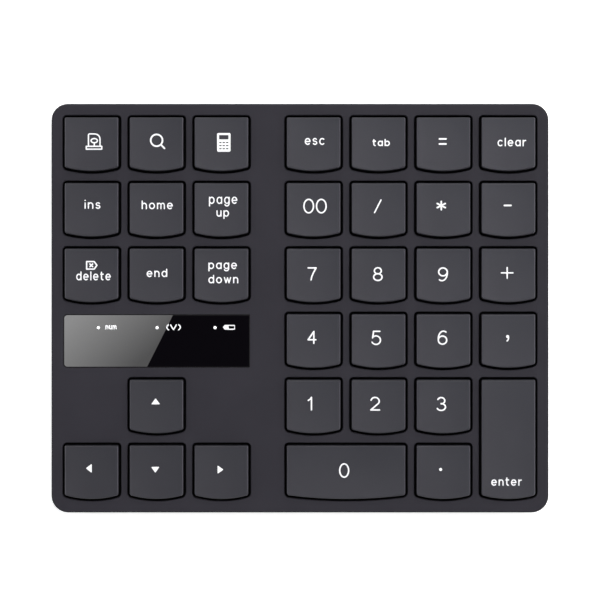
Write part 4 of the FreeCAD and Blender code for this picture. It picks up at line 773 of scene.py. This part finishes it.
def computer_icon(x, y):
    """A laptop with a round badge on its screen."""
    screen = [(-1.62, -1.35), (-1.62, 1.85)] + arc(-1.27, 1.85, 0.35, 0.38, 180, 90)
    screen += arc(0.15, 0.7, 1.6, 1.53, 90, 0) + [(1.75, -1.35)]
    base = [(-2.26, -1.4), (-2.26, -2.24), (2.26, -2.24), (2.26, -1.4), (-2.26, -1.4)]
    badge = arc(0.07, 0.25, 0.92, 0.62)
    stem = [(0.07, -0.4), (0.07, -1.3)]
    return pen_outlines(moved([screen, base, badge, stem], x, y), ICON_PEN)


def search_icon(x, y):
    """A magnifying glass."""
    ring, handle = arc(-0.3, 0.3, 1.72, 1.72), [(0.98, -0.98), (2.0, -2.05)]
    return pen_outlines(moved([ring, handle], x, y), SEARCH_PEN)


def calculator_icon(x, y):
    """A filled calculator, with its display and three rows of keys left out."""
    body = [rounded_box(x, y, 3.95, 5.47, 0.4)]
    holes = [rounded_box(x, y + 1.5, 2.75, 1.25, 0.12)]
    holes += [
        rounded_box(x + column, y + row, 0.66, 0.34, 0.1)
        for column in (-1.0, 0, 1.0) for row in (-0.05, -0.95, -1.85)
    ]
    return body, holes


def delete_icon(x, y):
    """A key-shaped tag that points right, with a cross in it."""
    tag = [(-1.5, 1.1), (0.7, 1.1), (1.5, 0), (0.7, -1.1), (-1.5, -1.1), (-1.5, 1.1)]
    cross = [[(-0.55, 0.4), (0.25, -0.4)], [(-0.55, -0.4), (0.25, 0.4)]]
    return pen_outlines(moved([tag, *cross], x, y), DELETE_PEN)


def comma_mark(x, y):
    """A disc with a short tail that bends down to the left."""
    return [disc(x, y, 0.46)] + pen_outlines([arc(x - 0.31, y - 0.15, 0.6, 1.15, 0, -75)], COMMA_PEN)


# The outlines of the marks that aren't words, numbers or signs.
ICONS = {
    "computer": computer_icon(0.72, 0.78),
    "search": search_icon(0.34, 0.83),
    "delete": delete_icon(0.07, 2.95),
    "arrow_up": triangle(-0.25, 1.5, 2.37, 1.68, "up"),
    "arrow_down": triangle(-0.34, 0.75, 2.2, 1.65, "down"),
    "arrow_left": triangle(-0.75, 1.15, 1.62, 2.4, "left"),
    "arrow_right": triangle(-0.31, 0.77, 1.65, 2.2, "right"),
    "point": [disc(-0.85, 0.8, 0.45)],
    "comma": comma_mark(-0.24, 1.3),
}


def legend_shapes(key):
    """The solid outlines and the holes of a key's legend."""
    if key == "calculator":
        return calculator_icon(0.7, 0.53)
    words = [outline for mark in LEGENDS.get(key, []) for outline in mark_outlines(mark)]
    return words + ICONS.get(key, []), []


for key in KEY_NAMES:
    solids, holes = legend_shapes(key)
    legend = ink_piece("legend_" + key, solids, holes, KEY_CENTRES[key], "keycap_" + key, ink)
    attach(legend, "key_" + key)

# Marks on the indicator window: three lamp dots, each with the sign of what it shows.
# Their places are from the middle of the window.
window_middle = middle("indicator_window")
LOCK_PEN, WAVE_PEN = 0.32, 0.34
LAMP_PLACES, LAMP_Y, LAMP_RADIUS = (-17.1, 0.1, 17.1), 3.9, 0.44


def lock_sign():
    """The number lock's sign, which reads num."""
    return [pen_outlines(fitted(word_strokes("num"), 3.35, 1.25, -13.4, 4.0, LOCK_PEN), LOCK_PEN), []]


def wireless_sign():
    """An aerial between two waves."""
    waves = [arc(4.0, 4.05, 1.2, 1.0, 130, 230), arc(5.1, 4.05, 1.2, 1.0, 50, -50)]
    aerial = [[(3.75, 4.8), (4.5, 3.3), (5.25, 4.8)]]
    strokes = fitted(waves + aerial, 4.3, 1.8, 4.95, 4.0, WAVE_PEN)
    return [pen_outlines(strokes, WAVE_PEN), []]


def battery_sign():
    """A battery about four tenths full."""
    body = [rounded_box(21.35, 4.0, 3.15, 1.4, 0.25), disc(19.85, 4.0, 0.4)]
    return [body, [rounded_box(21.9, 4.0, 1.6, 0.8, 0.15)]]


WINDOW_SIGNS = {"lock": lock_sign(), "wireless": wireless_sign(), "battery": battery_sign()}
for name, (solids, holes) in WINDOW_SIGNS.items():
    sign = ink_piece("window_sign_" + name, solids, holes, window_middle, "indicator_window", ink)
    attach(sign, "case")

for number, x in enumerate(LAMP_PLACES, start=1):
    spot = [disc(x, LAMP_Y, LAMP_RADIUS)]
    lamp = ink_piece("window_lamp_%d" % number, spot, [], window_middle, "indicator_window", lamp_ink)
    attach(lamp, "case")

# ----------------------------------------------------------------------------------------------
# Floor, light and camera.


def plate_mesh(name, corners, material):
    """One flat face through the corners."""
    bm = bmesh.new()
    bm.faces.new([bm.verts.new(corner) for corner in corners])
    return finish_piece(name, bm, material)


def floor_finish():
    finish = Finish("pale_floor", Roughness=0.9, Emission_Color=(1, 1, 1, 1), Emission_Strength=0.62)
    clouds = finish.scaled(finish.noise(60, detail=3), 0, 1)
    finish.paint(finish.mixed(clouds, (0.86, 0.86, 0.86), (0.9, 0.9, 0.9)))
    return finish.material


FLOOR_REACH = 3.0
floor_corners = [(x * FLOOR_REACH, y * FLOOR_REACH, 0) for x, y in ((-1, -1), (1, -1), (1, 1), (-1, 1))]
floor = plate_mesh("floor", floor_corners, floor_finish())

# The camera looks straight down, so it isn't turned.
CAMERA_LENS_MM, CAMERA_SENSOR_MM, CAMERA_Y, CAMERA_ABOVE_DECK = 200, 36, 0.0024, 0.9772
camera_data = bpy.data.cameras.new("camera")
camera_data.lens = CAMERA_LENS_MM
camera_data.sensor_width = CAMERA_SENSOR_MM
camera_data.clip_end = 10
camera = bpy.data.objects.new("camera", camera_data)
camera.location = (0, CAMERA_Y, DECK + CAMERA_ABOVE_DECK)
bpy.context.scene.collection.objects.link(camera)
bpy.context.scene.camera = camera


def soft_box(name, place, width, height, power):
    """A large area light that faces the keypad. Metres and watts."""
    data = bpy.data.lights.new(name, "AREA")
    data.shape = "RECTANGLE"
    data.size, data.size_y = width, height
    data.energy = power
    lamp = bpy.data.objects.new(name, data)
    lamp.location = place
    lamp.rotation_euler = Vector(place).to_track_quat("Z", "Y").to_euler()
    bpy.context.scene.collection.objects.link(lamp)
    return lamp


soft_box("light_left", (-1.1, 0.2, 0.8), 0.9, 0.7, 3)
soft_box("light_right", (0.9, 0.2, 0.85), 0.8, 0.6, 3)
soft_box("light_front", (0, -1.2, 0.8), 0.9, 0.7, 3)
soft_box("light_rear", (0.25, 0.9, 1.1), 0.9, 0.7, 5)
soft_box("light_top", (0.25, 0.25, 1.25), 0.8, 0.8, 14).visible_glossy = False


def mirrored(x, y):
    """The point at the camera's height whose reflection is seen at (x, y) millimetres on the deck."""
    return (2 * x * MM - camera.location.x, 2 * y * MM - camera.location.y, camera.location.z)


def card_finish():
    """A softly graded card, brightest at its rear left corner."""
    finish = Finish("reflector_card", Base_Color=(0, 0, 0, 1), Emission_Color=(1, 1, 1, 1))
    rise = Vector((-65, 72, 0))
    slope = finish.add("ShaderNodeVectorMath", operation="DOT_PRODUCT")
    slope.inputs[1].default_value = rise
    finish.wire(finish.coordinates.outputs["Object"], slope.inputs[0])
    bright, dim = rise.dot(mirrored(-68, -4)), rise.dot(mirrored(-46, -15))
    glow = finish.scaled(slope.outputs["Value"], 2.0, 6.5, dim, bright)
    finish.wire(glow, finish.shader.inputs["Emission Strength"])
    return finish.material


# The card's slanted right edge is the bright diagonal that the window shows.
card_corners = [mirrored(-74, 0), mirrored(-74, -20), mirrored(-46.1, -19.7), mirrored(-36.2, 0)]
card = plate_mesh("reflector_card", card_corners, card_finish())
card.visible_camera = False

# The world is grey at the horizon and nearly black overhead.
world = bpy.data.worlds.new("studio")
world.use_nodes = True
world_tree = world.node_tree
background = world_tree.nodes["Background"]
direction = world_tree.nodes.new("ShaderNodeTexCoord")
height = world_tree.nodes.new("ShaderNodeSeparateXYZ")
sky = world_tree.nodes.new("ShaderNodeValToRGB")
world_tree.links.new(direction.outputs["Generated"], height.inputs["Vector"])
world_tree.links.new(height.outputs["Z"], sky.inputs["Fac"])
world_tree.links.new(sky.outputs["Color"], background.inputs["Color"])
sky.color_ramp.elements[0].position = 0.25
sky.color_ramp.elements[0].color = (0.4, 0.4, 0.4, 1)
sky.color_ramp.elements[1].position = 0.8
sky.color_ramp.elements[1].color = (0.03, 0.03, 0.03, 1)
bpy.context.scene.world = world
bpy.context.scene.view_settings.view_transform = "Standard"
